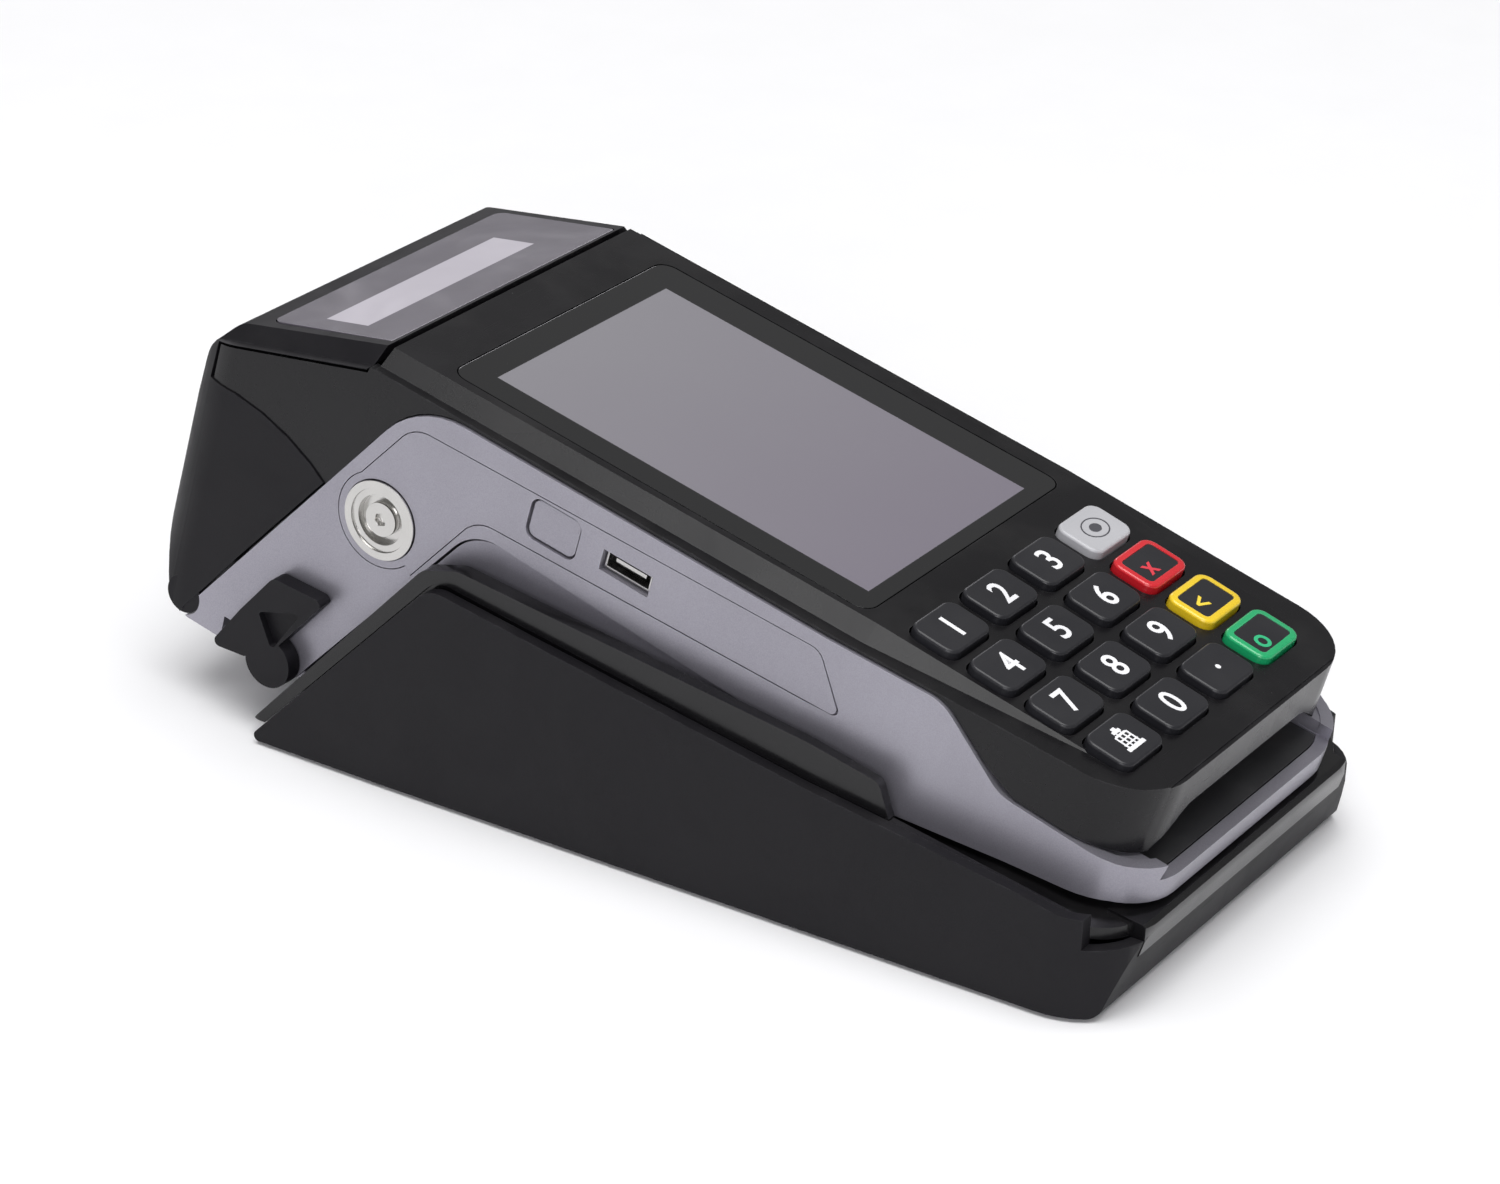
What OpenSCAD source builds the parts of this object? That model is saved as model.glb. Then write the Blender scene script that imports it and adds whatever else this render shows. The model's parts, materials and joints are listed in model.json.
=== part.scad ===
// Card payment terminal with receipt printer, seated on its charging base.
// The terminal is drawn level, in its own frame: x across, y towards the printer, z out of the
// display, with the display's front edge at y = 0 and its glass at z = 0. docked() then tips it
// and sets it down on the base, whose underside lies on z = 0.

/* [Seat] */
// Angle of the docked display above the table, in degrees
dock_tilt = 13.6; // [13.4:0.1:13.8]
// Height of the display's front edge above the table
dock_z = 52.1; // [52:0.1:52.3]
// Distance from the display's front edge to the middle of the whole object
dock_y = -37.8; // [-40:0.1:-36]

/* [Terminal body] */
// Half of the width across the silver sides
body_hw = 39; // [38.8:0.1:39.2]
// Wall thickness of the moulded housings
wall = 2.2; // [2:0.1:2.4]
// Where the silver lip ends at the front
front_y = -62.8; // [-63:0.1:-62.5]
// Where the flat deck meets the sloping paper lid
kink_y = 90; // [89.8:0.1:90.2]
// Half of the flat deck's width beside the display
deck_hw = 34; // [33.8:0.1:34.2]
// Slope of the keypad deck, in degrees
keypad_tilt = 3.4; // [3.2:0.1:3.5]
// Slope of the paper lid's top, in degrees
lid_slope = 20; // [19.5:0.1:20.2]

/* [Display] */
// Width of the lit area
screen_w = 49; // [48:0.5:49.5]
// Length of the lit area
screen_l = 73.5; // [73:0.5:74]
// Offset of the lit area from the middle of the terminal
screen_x = -2; // [-2.5:0.1:-1.5]

/* [Keys] */
// Distance between key columns
key_pitch_x = 15.3; // [15.1:0.1:15.5]
// Distance between key rows
key_pitch_y = 10.95; // [10.8:0.05:11.1]
// Width of one key
key_w = 12.4; // [12:0.1:12.6]
// Length of one key
key_l = 8.9; // [8.6:0.1:9]
// Height of a key's top above the deck
key_h = 1.5; // [1.2:0.1:1.7]
// Travel of a key
key_travel = 0.6; // [0.4:0.1:0.6]

/* [Printer] */
// Radius of a full paper roll
roll_r = 20; // [18:0.5:20]
// Width of the paper
paper_w = 57; // [56:0.5:57.5]
// Radius of the platen roller
platen_r = 4.9; // [4.7:0.1:4.9]
// Module of the printer's gears
gear_module = 0.6; // [0.6:0.1:0.6]
// Teeth on the motor pinion
pinion_teeth = 14; // [14:1:14]
// Teeth on the idler
idler_teeth = 22; // [22:1:22]
// Teeth on the platen gear
platen_teeth = 18; // [18:1:18]

/* [Charging base] */
// Half of the base's width at its rear
base_hw = 46.5; // [46.3:0.1:46.8]
// Height of the rubber feet below the shell
foot_drop = 0.5; // [0.4:0.1:0.6]

/* [Hidden] */

gap = 0.3;            // clearance between neighbouring covers
arc_step = 9;         // degrees of turn per facet of a rounded outline
far = 200;            // longer than anything in the part
nib = 0.02;           // thickness of the sheets that a hull joins
$fn = 48;

// ---- outlines -------------------------------------------------------------------------------

function xy(p) = [p.x, p.y];
function unit(v) = v / norm(v);
function turned(v, a) = [v.x * cos(a) - v.y * sin(a), v.x * sin(a) + v.y * cos(a)];
function reversed(list) = [for (i = [len(list) - 1 : -1 : 0]) list[i]];

// Arc of radius r that rounds corner b of the path a, b, c
function corner_arc(a, b, c, r) =
    let (u = unit(a - b), w = unit(c - b), half = acos(u * w) / 2,
         centre = b + unit(u + w) * r / sin(half), start = b + u * r / tan(half) - centre,
         turn = 180 - 2 * half, way = -sign(cross(u, w)),
         steps = max(1, ceil(turn / (r < 4 ? 2 * arc_step : arc_step))))
    [for (i = [0 : steps]) centre + turned(start, way * turn * i / steps)];

// Outline through [x, y, radius] corners
function rounded(path) =
    let (n = len(path))
    [for (i = [0 : n - 1])
        each path[i].z > 0
            ? corner_arc(xy(path[(i + n - 1) % n]), xy(path[i]), xy(path[(i + 1) % n]), path[i].z)
            : [xy(path[i])]];

// Outline made of a right half and its mirror image
function mirrored(half) = rounded(concat(half, [for (p = reversed(half)) [-p.x, p.y, p.z]]));

// Rounded rectangle of half-width w and half-length l about the origin
module plate(w, l, r) polygon(rounded([[-w, -l, r], [w, -l, r], [w, l, r], [-w, l, r]]));

// Points of an arc of radius r about c, from angle a to angle b
function arc(c, r, a, b) =
    let (steps = ceil(abs(b - a) / arc_step))
    [for (i = [0 : steps]) c + r * [cos(a + (b - a) * i / steps), sin(a + (b - a) * i / steps)]];

// Extrudes a y-z outline across x
module side(width, x = 0)
    translate([x, 0, 0]) rotate([90, 0, 90]) linear_extrude(width, center = true) children();

// Extrudes an x-y outline from z0 up to z1
module slab(z0, z1) translate([0, 0, z0]) linear_extrude(z1 - z0) children();

// Extrudes an x-z outline from y0 to y1
module along(y0, y1) translate([0, y1, 0]) rotate([90, 0, 0]) linear_extrude(y1 - y0) children();

// Box between two corners
module block(low, high) translate(low) cube(high - low);

// Straight cylinder along x between x0 and x1 about [y, z]
module rod_x(x0, x1, at, r) translate([x0, at.x, at.y]) rotate([0, 90, 0]) cylinder(r = r, h = x1 - x0);

module both_sides() { children(); mirror([1, 0, 0]) children(); }

// ---- places ---------------------------------------------------------------------------------

module docked() translate([0, dock_y, dock_z]) rotate([dock_tilt, 0, 0]) children();

deck_break = -6;      // y where the keypad deck starts to fall away
module keypad_plane() translate([0, deck_break, 0]) rotate([keypad_tilt, 0, 0]) children();

key_x0 = -24.8;       // first column
key_y0 = -8.5;        // first row, along the keypad plane
function key_at(col, row) = [key_x0 + key_pitch_x * col, key_y0 - key_pitch_y * row, 0];

// The terminal's outline from above, drawn in by inset
front_hw = 36.4;
rear_y = 126;
front_corner = 13;
rear_corner = 10;
function body_plan(inset = 0, front = front_y) =
    mirrored([[front_hw - inset, front + inset, front_corner - inset],
              [body_hw - inset, 0, 0],
              [body_hw - inset, rear_y - inset, rear_corner - inset]]);

// Hinge of the paper lid, and the radius of the seam that circles it
hinge = [116, -62.6];
hinge_r = 3.5;
pin_r = 1.5;
fit = 0.05;           // radial clearance of a running fit
ear_r = 42;
seam = 0.15;          // width of the seam round an ear

// The silver band's upper edge behind the display runs down at this angle
band_angle = 60;
band_top = [79.5, -3.3];
function band_line(z, shift = 0) = band_top.x + shift + (band_top.y - z) / tan(band_angle);

rear_bottom = -66.2;
band_profile = rounded([
    [-65, -15.1, 0], [-57, -15, 6], [-50, -14.2, 8], [-35.6, -13.2, 8], [-22.3, -3.2, 8],
    [band_top.x, band_top.y, 16], [band_line(rear_bottom), rear_bottom, 1],
    [91.2, rear_bottom, 1.5], [64, -19.7, 9], [-9, -22.6, 8], [-16.5, -26.8, 3],
    [-39.7, -23.7, 0], [-57, -21.9, 6], [-65, -21.8, 0]]);

// Underside of the terminal, as the base's tray meets it
belly_z = -31;
belly_front = -12;
belly_rear = 61.5;
slope_end = belly_rear + (belly_z - rear_bottom) / tan(band_angle);

// ---- printer places -------------------------------------------------------------------------

roll_at = [100.3, -38.6];
platen_at = [93, -10.8];
motor_at = [76, -25];
gear_teeth = [pinion_teeth, idler_teeth, platen_teeth];
function pitch_r(i) = gear_module * gear_teeth[i] / 2;

// The idler touches the pinion's pitch circle and the platen gear's
train = platen_at - motor_at;
reach_a = pitch_r(0) + pitch_r(1);
reach_b = pitch_r(1) + pitch_r(2);
train_a = (reach_a * reach_a - reach_b * reach_b + train * train) / (2 * norm(train));
train_h = sqrt(reach_a * reach_a - train_a * train_a);
idler_at = motor_at + unit(train) * train_a + turned(unit(train), 90) * train_h;

function heading(v) = atan2(v.y, v.x);
pinion_phase = heading(idler_at - motor_at);
idler_phase = heading(motor_at - idler_at) + 180 / gear_teeth[1];
to_platen = heading(platen_at - idler_at);
past_tooth = (to_platen - idler_phase) % (360 / gear_teeth[1]);
platen_phase = to_platen + 180 + past_tooth * pitch_r(1) / pitch_r(2) + 180 / gear_teeth[2];

// ---- gears ----------------------------------------------------------------------------------

pressure_angle = 20;
backlash = 1.2;       // degrees taken off each tooth's half-width, times ten teeth
function involute(a) = tan(a) * 180 / PI - a;
function tooth_half(teeth, r) =
    let (base_r = gear_module * teeth / 2 * cos(pressure_angle))
    90 / teeth - backlash * 10 / teeth + involute(pressure_angle)
        - involute(acos(min(1, base_r / max(r, base_r))));

// Spur gear outline with a tooth centred on phase
module gear_outline(teeth, phase) {
    r = gear_module * teeth / 2;
    radii = [for (k = [-1.2, -0.5, 0, 0.45, 0.85]) r + k * gear_module];
    polygon([for (i = [0 : teeth - 1]) let (mid = phase + 360 * i / teeth)
        each concat([for (q = radii) turned([q, 0], mid - tooth_half(teeth, q))],
                    [for (q = reversed(radii)) turned([q, 0], mid + tooth_half(teeth, q))])]);
}

gear_x0 = 31.5;
gear_x1 = 34.5;
module gear(index, at, phase) translate([0, at.x, at.y])
    side(gear_x1 - gear_x0, (gear_x0 + gear_x1) / 2) gear_outline(gear_teeth[index], phase);

// ---- charging base --------------------------------------------------------------------------

seat_shift = -dock_y; // base profiles are measured from the display's front edge
base_front = -57.2;
jack_y = 40;
jack_z = 9;
lip_hw = 34.5;        // half of the tray's front lip
lip_low = 9.6;
function base_plan(inset = 0) =
    mirrored([[44.6 - inset, base_front - seat_shift + inset, 13 - inset],
              [base_hw - inset, 40, 0],
              [base_hw - inset, 112 - seat_shift - inset, 3]]);

// Side outline of the shell, up to the seam where the tray starts
shell_profile = rounded([
    [-53.2, foot_drop, 2], [-57.4, 14.4, 1], [-56.8, 17.4, 1.5], [-47.5, 18, 0], [-40.4, 19.7, 0],
    [-0.5, 25.8, 0], [70.5, 39.2, 5], [107.6, foot_drop, 1]]);

// Side outline of the tray's rim, which stands above the seam
rim_profile = rounded([
    [-15.4, 23.6, 0], [-13.2, 29.4, 2], [-0.1, 32.4, 30], [66.5, 42.6, 5], [73.4, 40.8, 3],
    [110.6, foot_drop, 0], [108.1, foot_drop, 0], [70.6, 39.8, 5], [-0.5, 26.1, 0]]);

// Underside of the terminal moved down by drop, in the terminal's own frame
function belly_path(drop) = [
    [front_y - 4, -22.6 - drop], [-40, -24.4 - drop], [-17.6, -27.4 - drop],
    [belly_front - 0.4 * drop, belly_z - drop], [belly_rear - 0.57 * drop, belly_z - drop],
    [slope_end + 4 - 1.15 * drop, rear_bottom - 7]];

tray_gap = 0.5;
tray_wall = 2;
tray_hw = 41;
rim_hw = 45.3;

module base_frame() translate([0, dock_y, 0]) children();

module tray_strip(top, bottom)
    polygon(concat(belly_path(top), reversed(belly_path(bottom))));

module base_shell() color("#1d1d20") difference() {
    intersection() {
        slab(0, 60) polygon(base_plan());
        base_frame() side(far) polygon(shell_profile);
    }
    intersection() {
        slab(-1, 70) polygon(base_plan(wall));
        base_frame() side(far) polygon([[-50.9, -1], [-55, 14.4], [-54.6, 60], [140, 60], [140, -1]]);
    }
    base_frame() {
        // the tray's lip sits on the front wall, with a notch beside it at each corner
        block([-lip_hw - 0.2, -60, lip_low - 0.2], [lip_hw + 0.2, -49, 30]);
        both_sides() block([lip_hw - 1, -60, 12.6], [47, -50.5, 30]);
    }
    // opening for the power jack, in the right side
    block([base_hw - wall - 1, jack_y - 4.6, jack_z - 2.6], [base_hw + 1, jack_y + 4.6, jack_z + 2.6]);
}

tray_wall_profile = [[-57, 6], [-56, 15.5], [-47.5, 17.6], [-15, 23.4], [-13.2, 29], [0, 32.2], [66.5, 42.2],
                     [73, 40.4], [107, 3.5], [107, 3], [-57, 3]];

pin_xs = [-9, -3, 3, 9];
pin_y = 4;
pin_shaft_r = 0.9;
pin_stop = belly_z - tray_gap - tray_wall;

module base_tray() color("#141416") difference() {
    union() {
        intersection() {
            union() {
                docked() side(2 * tray_hw + 2) tray_strip(tray_gap, tray_gap + tray_wall);
                base_frame() both_sides()
                    side(rim_hw - tray_hw, (rim_hw + tray_hw) / 2) polygon(rim_profile);
                // side walls from the tray's floor up to the rim
                both_sides() intersection() {
                    docked() side(tray_wall, tray_hw + 0.25 + tray_wall / 2)
                        polygon(concat(belly_path(tray_gap + tray_wall),
                                       [[slope_end + 30, 30], [front_y - 4, 30]]));
                    base_frame() side(far) polygon(tray_wall_profile);
                }
            }
            slab(3, 60) polygon(base_plan(wall + 0.15));
        }
        // front lip under the terminal's nose
        intersection() {
            slab(3, 60) polygon(base_plan());
            base_frame() side(2 * lip_hw) polygon(rounded([
                [-56.1, lip_low, 0], [-57.5, 14.4, 1], [-56.4, 15.1, 0.8], [-50, 16, 0], [-50, 12, 0],
                [-53.6, 11.6, 0], [-54.2, lip_low, 0]]));
        }
    }
    // passages for the charging pins
    docked() for (x = pin_xs) translate([x, pin_y, belly_z - 6]) cylinder(r = pin_shaft_r + fit, h = 8);
}

foot_spots = [for (x = [-36, 36], y = [-72, 52]) [x, y]];
base_screw_spots = [for (x = [-38, 38], y = [-58, 30]) [x, y]];

module base_bottom() color("#2a2a2d") difference() {
    base_frame() intersection() {
        slab(1, 2.6) translate([0, seat_shift]) polygon(base_plan(wall + 0.3));
        side(far) polygon([[-50.4, 0], [-50.4, 4], [102, 4], [102, 0]]);
    }
    for (p = base_screw_spots) translate([p.x, p.y, 0]) cylinder(r = 1.6, h = 4);
    for (p = foot_spots) translate([p.x, p.y, 0]) cylinder(r = 5.1, h = 1.8);
}

module base_feet() color("#101010") for (p = foot_spots)
    translate([p.x, p.y, 0]) rotate_extrude() polygon([[0, 0], [4.4, 0], [5, 0.5], [5, 1.8], [0, 1.8]]);

module base_screws() color("#9a9a9e") for (p = base_screw_spots)
    translate([p.x, p.y, 0.6]) difference() {
        union() {
            cylinder(r = 2.6, h = 0.4);
            cylinder(r = 1.5, h = 7);
        }
        translate([0, 0, -1]) cylinder(r = 1.1, h = 1.25, $fn = 6);
    }

board_z = 4;
module base_board() color("#1f5c3a") difference() {
    block([-26, -20, board_z], [base_hw - wall - 1.4, 48, board_z + 1.6]);
    translate([-20, -14, 0]) cylinder(r = 1.6, h = 10);
    translate([38, 30, 0]) cylinder(r = 3.2, h = 10);
}

module power_jack() color("#b9babd") difference() {
    block([base_hw - 9, jack_y - 4.4, board_z + 1.6], [base_hw - wall - 0.3, jack_y + 4.4, jack_z + 2.4]);
    block([base_hw - 8, jack_y - 4, jack_z - 1.4], [base_hw + 1, jack_y + 4, jack_z + 2]);
}

// Sprung pins on one carrier under the tray
module charge_pins() color("#d8b24a") docked() {
    for (x = pin_xs) translate([x, pin_y, pin_stop - 1.2])
        cylinder(r = pin_shaft_r, h = belly_z - 0.05 - pin_stop + 1.2);
    block([-12, pin_y - 2, pin_stop - 2.6], [12, pin_y + 2, pin_stop - 1.2]);
}

// ---- terminal covers ------------------------------------------------------------------------

deck_t = 2.4;         // thickness of the deck
deck_end = kink_y - 0.8;
bevel_drop = 2.6;     // height of the bevel round the deck

// Deck outlines: the flat beside the display, and the keypad's own plane
function rear_deck(grow) = [[deck_hw + grow, deck_end], [-deck_hw - grow, deck_end],
                            [-33.1 - grow, deck_break], [33.1 + grow, deck_break]];
function keypad_deck(grow, front) = mirrored([[30.8 + grow * 0.9, front, 9 + grow * 0.8], [33.1 + grow, 0, 0]]);

module deck_body(lower) {
    hull() {
        slab(lower - nib, lower) polygon(rear_deck(0));
        slab(lower - bevel_drop, lower - bevel_drop + nib) polygon(rear_deck(3));
    }
    keypad_plane() hull() {
        slab(lower - nib, lower) polygon(keypad_deck(0, -46));
        slab(lower - bevel_drop - 1, lower - bevel_drop) polygon(keypad_deck(3, -52));
    }
}

cap_front = -59.2;
skirt_low = -12.6;
lens_low = [-32, -3.4];
lens_high = [30, 79.4];
lens_t = 1.3;
module lens_outline(inset) translate((lens_low + lens_high) / 2)
    plate((lens_high.x - lens_low.x) / 2 - inset, (lens_high.y - lens_low.y) / 2 - inset, 3 - inset);

// Side region that the silver band and the lid leave to the black cover
ear_profile = concat(
    [[-62, -2.7], [kink_y + 0.2, -2.7], [kink_y + 0.4, -3.8], [119.6, -14.2]],
    arc(hinge, ear_r, 85.1, 124.5),
    [[band_line(-15, gap), -15], [70, skirt_low], [-30, skirt_low], [-42, -17], [-62, -17]]);

// Arch of the card mouth; rise lifts and widens it where it runs out through the cap's front
module mouth_outline(rise) polygon(mirrored([
    [29 + rise / 3, -17.7, 0], [28 + rise / 2, -14.2 + rise / 2, 2], [19.5 + rise / 2, -9.3 + rise, 8]]));

swipe_x0 = 35.2;
swipe_x1 = 36.5;

module top_cover() color("#1b1b1e") docked() difference() {
    union() {
        deck_body(0);
        // ledge under the bevel, the skirt round the nose, and the two ears beside the lid
        intersection() {
            slab(-60, -2.6) difference() {
                polygon(body_plan(0.5, cap_front));
                polygon(body_plan(2.6, cap_front));
            }
            side(far) polygon(ear_profile);
            side(far) polygon([[-60, -2.6], [-60, -60], [119.7, -60], [119.7, -2.6]]);
        }
        intersection() {
            slab(-3.6, -2.5) polygon(body_plan(0.5, cap_front));
            side(far) polygon([[-58, -2], [-58, -4], [deck_end, -4], [deck_end, -2]]);
        }
    }
    // hollow under the deck
    intersection() {
        deck_body(-deck_t);
        block([-far, cap_front + 2, -far], [far, deck_end - deck_t, 0]);
    }
    slab(-60, -deck_t - 1.2) intersection() {
        polygon(body_plan(2.6, cap_front));
        translate([-50, -60]) square([100, 300]);
    }
    // silver band below
    side(far) translate([0, gap]) polygon(band_profile);
    side(far) polygon([[-20, -4], [70, -4], [70, -30], [-40, -30], [-40, -14]]);
    // card mouth
    along(-70, -48) mouth_outline(0);
    // lens seat and the window under it
    slab(-lens_t - 0.1, 1) lens_outline(0);
    block([lens_low.x + 2.5, lens_low.y + 1.2, -5], [lens_high.x - 2.5, lens_high.y - 1.6, 1]);
    // key openings
    keypad_plane() for (col = [0 : 3], row = [0 : 3]) translate(key_at(col, row))
        slab(-8, 4) key_outline(0.35);
    // magnetic stripe slot along the right side
    block([swipe_x0, -4, -5], [swipe_x1, kink_y + 1, 1]);
}

module display_lens() color("#2b2b31") docked() slab(-lens_t, 0) lens_outline(0.2);

module lcd_module() color("#8d8c97") docked() {
    block([screen_x - screen_w / 2 - 2, -2, -5.8], [screen_x + screen_w / 2 + 2, screen_l + 3, -lens_t - 0.1]);
}

// ---- keys -----------------------------------------------------------------------------------

key_corner = 2.2;
module key_outline(grow) plate(key_w / 2 + grow, key_l / 2 + grow, key_corner + grow);

flange_z = -deck_t - 0.2;
module key(col, row) docked() keypad_plane() translate(key_at(col, row)) {
    slab(flange_z - 0.7, key_h - 0.5) key_outline(0);
    slab(key_h - 0.5, key_h) key_outline(-0.4);
    slab(flange_z - 0.7, flange_z) key_outline(0.8);
}

inlay_t = 0.4;
module framed_key(col, row) difference() {
    key(col, row);
    docked() keypad_plane() translate(key_at(col, row)) slab(key_h - inlay_t, key_h + 1) key_outline(-1.3);
}
module inlay(col, row) color("#242428") docked() keypad_plane() translate(key_at(col, row))
    slab(key_h - inlay_t, key_h - 0.1) key_outline(-1.35);

mat_z = flange_z - 0.7 - key_travel - 0.15;
module keypad_mat() color("#5a5a60") docked() keypad_plane() {
    slab(mat_z - 0.8, mat_z - 0.3) polygon(rounded([[-31, -46.4, 8], [27.5, -46.4, 8], [27.5, -2, 2], [-31, -2, 2]]));
    for (col = [0 : 3], row = [0 : 3]) translate(key_at(col, row) + [0, 0, mat_z - 0.4]) cylinder(r = 2.4, h = 0.4);
}

module main_board() color("#1f5c3a") docked() difference() {
    block([-33, -46, -10.2], [32, 66, -8.8]);
    for (x = [-30.5, 29.5], y = [-40, 20]) translate([x, y, -20]) cylinder(r = 1.5, h = 20);
}

// ---- silver housing -------------------------------------------------------------------------

cup_at = [81.5, -27.6];
cup_r = 7;
panel_t = 1;
panel_x = -body_hw;

module panel_outline(inset) {
    polygon(rounded([
        [87.6 - 0.86 * inset, -22 - 0.5 * inset, 0], [79.4 - 0.6 * inset, -8 - inset, 6],
        [-0.6 + inset / 2, -5.6 - inset, 3], [-7.3 + 1.8 * inset, -15.3 + inset, 1],
        [64 + 0.6 * inset, -17.8 + inset, 6], [73.4 + 0.87 * inset, -34.2 + inset / 2, 0]]));
    translate(cup_at) circle(r = 8.6 - inset);
}

button_at = [50, -11.6];
button_size = [9.4, 7];
usb_at = [35.5, -11.8];
module button_outline(grow) translate(button_at)
    plate(button_size.x / 2 + grow, button_size.y / 2 + grow, 1.5 + grow);

catch_at = [94.6, -62];
catch_curl = [94.5, -62.8];
catch_pin_r = 1.4;

module mid_housing() color("#9b99a6") docked() difference() {
    union() {
        intersection() {
            slab(-70, 0) difference() {
                polygon(body_plan());
                polygon(body_plan(wall));
            }
            side(far) polygon(band_profile);
        }
        intersection() {
            slab(-70, 0) polygon(body_plan(0.5));
            union() {
                // floor above the battery, then the paper bay's front wall and floor
                side(2 * body_hw - 2 * wall + 0.4) polygon([
                    [-62, -20.6], [-62, -18.8], [61, -18.8], [87.2, -64.4],
                    [108, -64.4], [108, rear_bottom], [86, rear_bottom], [59.9, -20.6]]);
                // cheeks beside the card mouth
                both_sides() block([28.8, -62, -20], [37, -47, -15.3]);
            }
        }
        // lid hinge knuckles
        for (x = [-14, 14]) {
            rod_x(x - 5.5, x + 5.5, hinge, hinge_r - 0.8);
            block([x - 5.5, 104, rear_bottom], [x + 5.5, hinge.x, -63]);
        }
        // bosses of the seal cup and the catch pins
        rod_x(-37, -31.4, cup_at, cup_r + 1.6);
        both_sides() rod_x(33, 37, catch_at, 3);
    }
    // card mouth and the slot behind it
    along(-70, -56) mouth_outline(0);
    block([-28, -60, -17.6], [28, -40, -8]);
    // clearance round the lid's hinge barrel
    both_sides() rod_x(19.4, 45, hinge, hinge_r + 0.2);
    rod_x(-8.4, 8.4, hinge, hinge_r + 0.3);
    rod_x(-50, 50, hinge, pin_r + fit);
    // service panel seat and what passes through it
    side(2 * panel_t, panel_x) panel_outline(0);
    rod_x(-50, -36, cup_at, cup_r + fit);
    rod_x(-36.5, -30, cup_at, 5.6);
    side(12, -40) button_outline(0.3);
    block([-45, usb_at.x - 4.8, usb_at.y - 1.9], [-34, usb_at.x + 4.8, usb_at.y + 1.9]);
    // catch pins, and the groove for the catch's cross bar
    rod_x(-50, 50, catch_at, catch_pin_r);
    block([-50, 97, rear_bottom - 1], [50, 106.8, -61.8]);
    // screws from below
    for (p = housing_screw_spots) translate([p.x, p.y, -30]) cylinder(r = 1.5, h = 20);
}

module bottom_cover() color("#8f8d99") docked() difference() {
    intersection() {
        slab(-70, -10) polygon(body_plan(0.5));
        side(far) polygon(rounded([
            [-16.7, -27.5, 0], [-8.6, -22.95, 8], [63.8, -20.05, 9], [90.6, rear_bottom, 0],
            [slope_end, rear_bottom, 2], [belly_rear, belly_z, 0], [belly_front, belly_z, 3]]));
    }
    intersection() {
        slab(-70, -10) polygon(body_plan(wall + 0.5));
        side(far) polygon(rounded([
            [-13.6, -26.2, 0], [-13.6, -10, 0], [66, -10, 0], [97, -63.5, 0],
            [slope_end + 3.4, rear_bottom + 2, 0], [belly_rear + 1.2, belly_z + 1.8, 0],
            [belly_front + 2, belly_z + 1.8, 1]]));
    }
    // the housing's paper bay wall runs inside this cover
    side(2 * body_hw - 2 * wall + 1) polygon([[-62, -20.9], [-62, -18], [62, -18], [88.2, -63.4],
        [95, -63.4], [95, rear_bottom - 1], [85.5, rear_bottom - 1], [59.6, -20.9]]);
    // openings for the charging contacts and the screws
    block([-12, pin_y - 1.8, belly_z - 1], [12, pin_y + 1.8, belly_z + 3]);
    for (p = housing_screw_spots) translate([p.x, p.y, belly_z - 1]) cylinder(r = 1.7, h = 6);
    for (p = housing_screw_spots) translate([p.x, p.y, belly_z - 1]) cylinder(r = 3, h = 2);
}

housing_screw_spots = [for (x = [-33, 33], y = [-6, 54]) [x, y]];
module housing_screws() color("#8a8a90") docked() for (p = housing_screw_spots)
    translate([p.x, p.y, belly_z + 0.3]) difference() {
        union() {
            cylinder(r = 2.7, h = 0.7);
            cylinder(r = 1.4, h = 11.5);
        }
        translate([0, 0, -1]) cylinder(r = 1.2, h = 1.5, $fn = 6);
    }

module battery_pack() color("#3d4c63") docked()
    slab(belly_z + 2.1, -21.2) polygon(rounded([[-29, 8, 2], [29, 8, 2], [29, 57, 2], [-29, 57, 2]]));

module charge_contacts() color("#d8b24a") docked() {
    for (x = pin_xs) block([x - 1.8, pin_y - 1.6, belly_z], [x + 1.8, pin_y + 1.6, belly_z + 0.8]);
    block([-11.8, pin_y - 1.7, belly_z + 0.8], [11.8, pin_y + 1.7, belly_z + 3]);
}

module service_panel() color("#9b99a6") docked() difference() {
    side(panel_t - 0.05, panel_x + (panel_t - 0.05) / 2) panel_outline(0.15);
    rod_x(-50, -30, cup_at, cup_r + 0.15);
    side(12, -40) button_outline(0.3);
    block([-45, usb_at.x - 4.8, usb_at.y - 1.9], [-34, usb_at.x + 4.8, usb_at.y + 1.9]);
}

module seal_cup() color("#b8b6b4") docked() difference() {
    rod_x(-39.4, -36.6, cup_at, cup_r);
    rod_x(-50, -39, cup_at, 5.6);
    rod_x(-50, -37.6, cup_at, 4.4);
    rod_x(-50, -30, cup_at, 1.7);
}

module seal_screw() color("#a9a7a4") docked() difference() {
    union() {
        rod_x(-38.9, -37.6, cup_at, 3);
        rod_x(-38.9, -32, cup_at, 1.6);
    }
    translate([-40, cup_at.x, cup_at.y]) rotate([0, 90, 0]) cylinder(r = 1.2, h = 1.9, $fn = 6);
}

module side_button() color("#a5a3b0") docked() {
    side(2.2, -37.5) button_outline(0);
    side(0.7, -36.05) button_outline(0.9);
}

module usb_port() color("#a7a8ab") docked() {
    difference() {
        block([-38, usb_at.x - 4.5, usb_at.y - 1.6], [-31, usb_at.x + 4.5, usb_at.y + 1.6]);
        block([-39, usb_at.x - 4.1, usb_at.y - 1.2], [-32, usb_at.x + 4.1, usb_at.y + 1.2]);
    }
    block([-37.4, usb_at.x - 3, usb_at.y - 0.1], [-32, usb_at.x + 3, usb_at.y + 0.6]);
}

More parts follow.
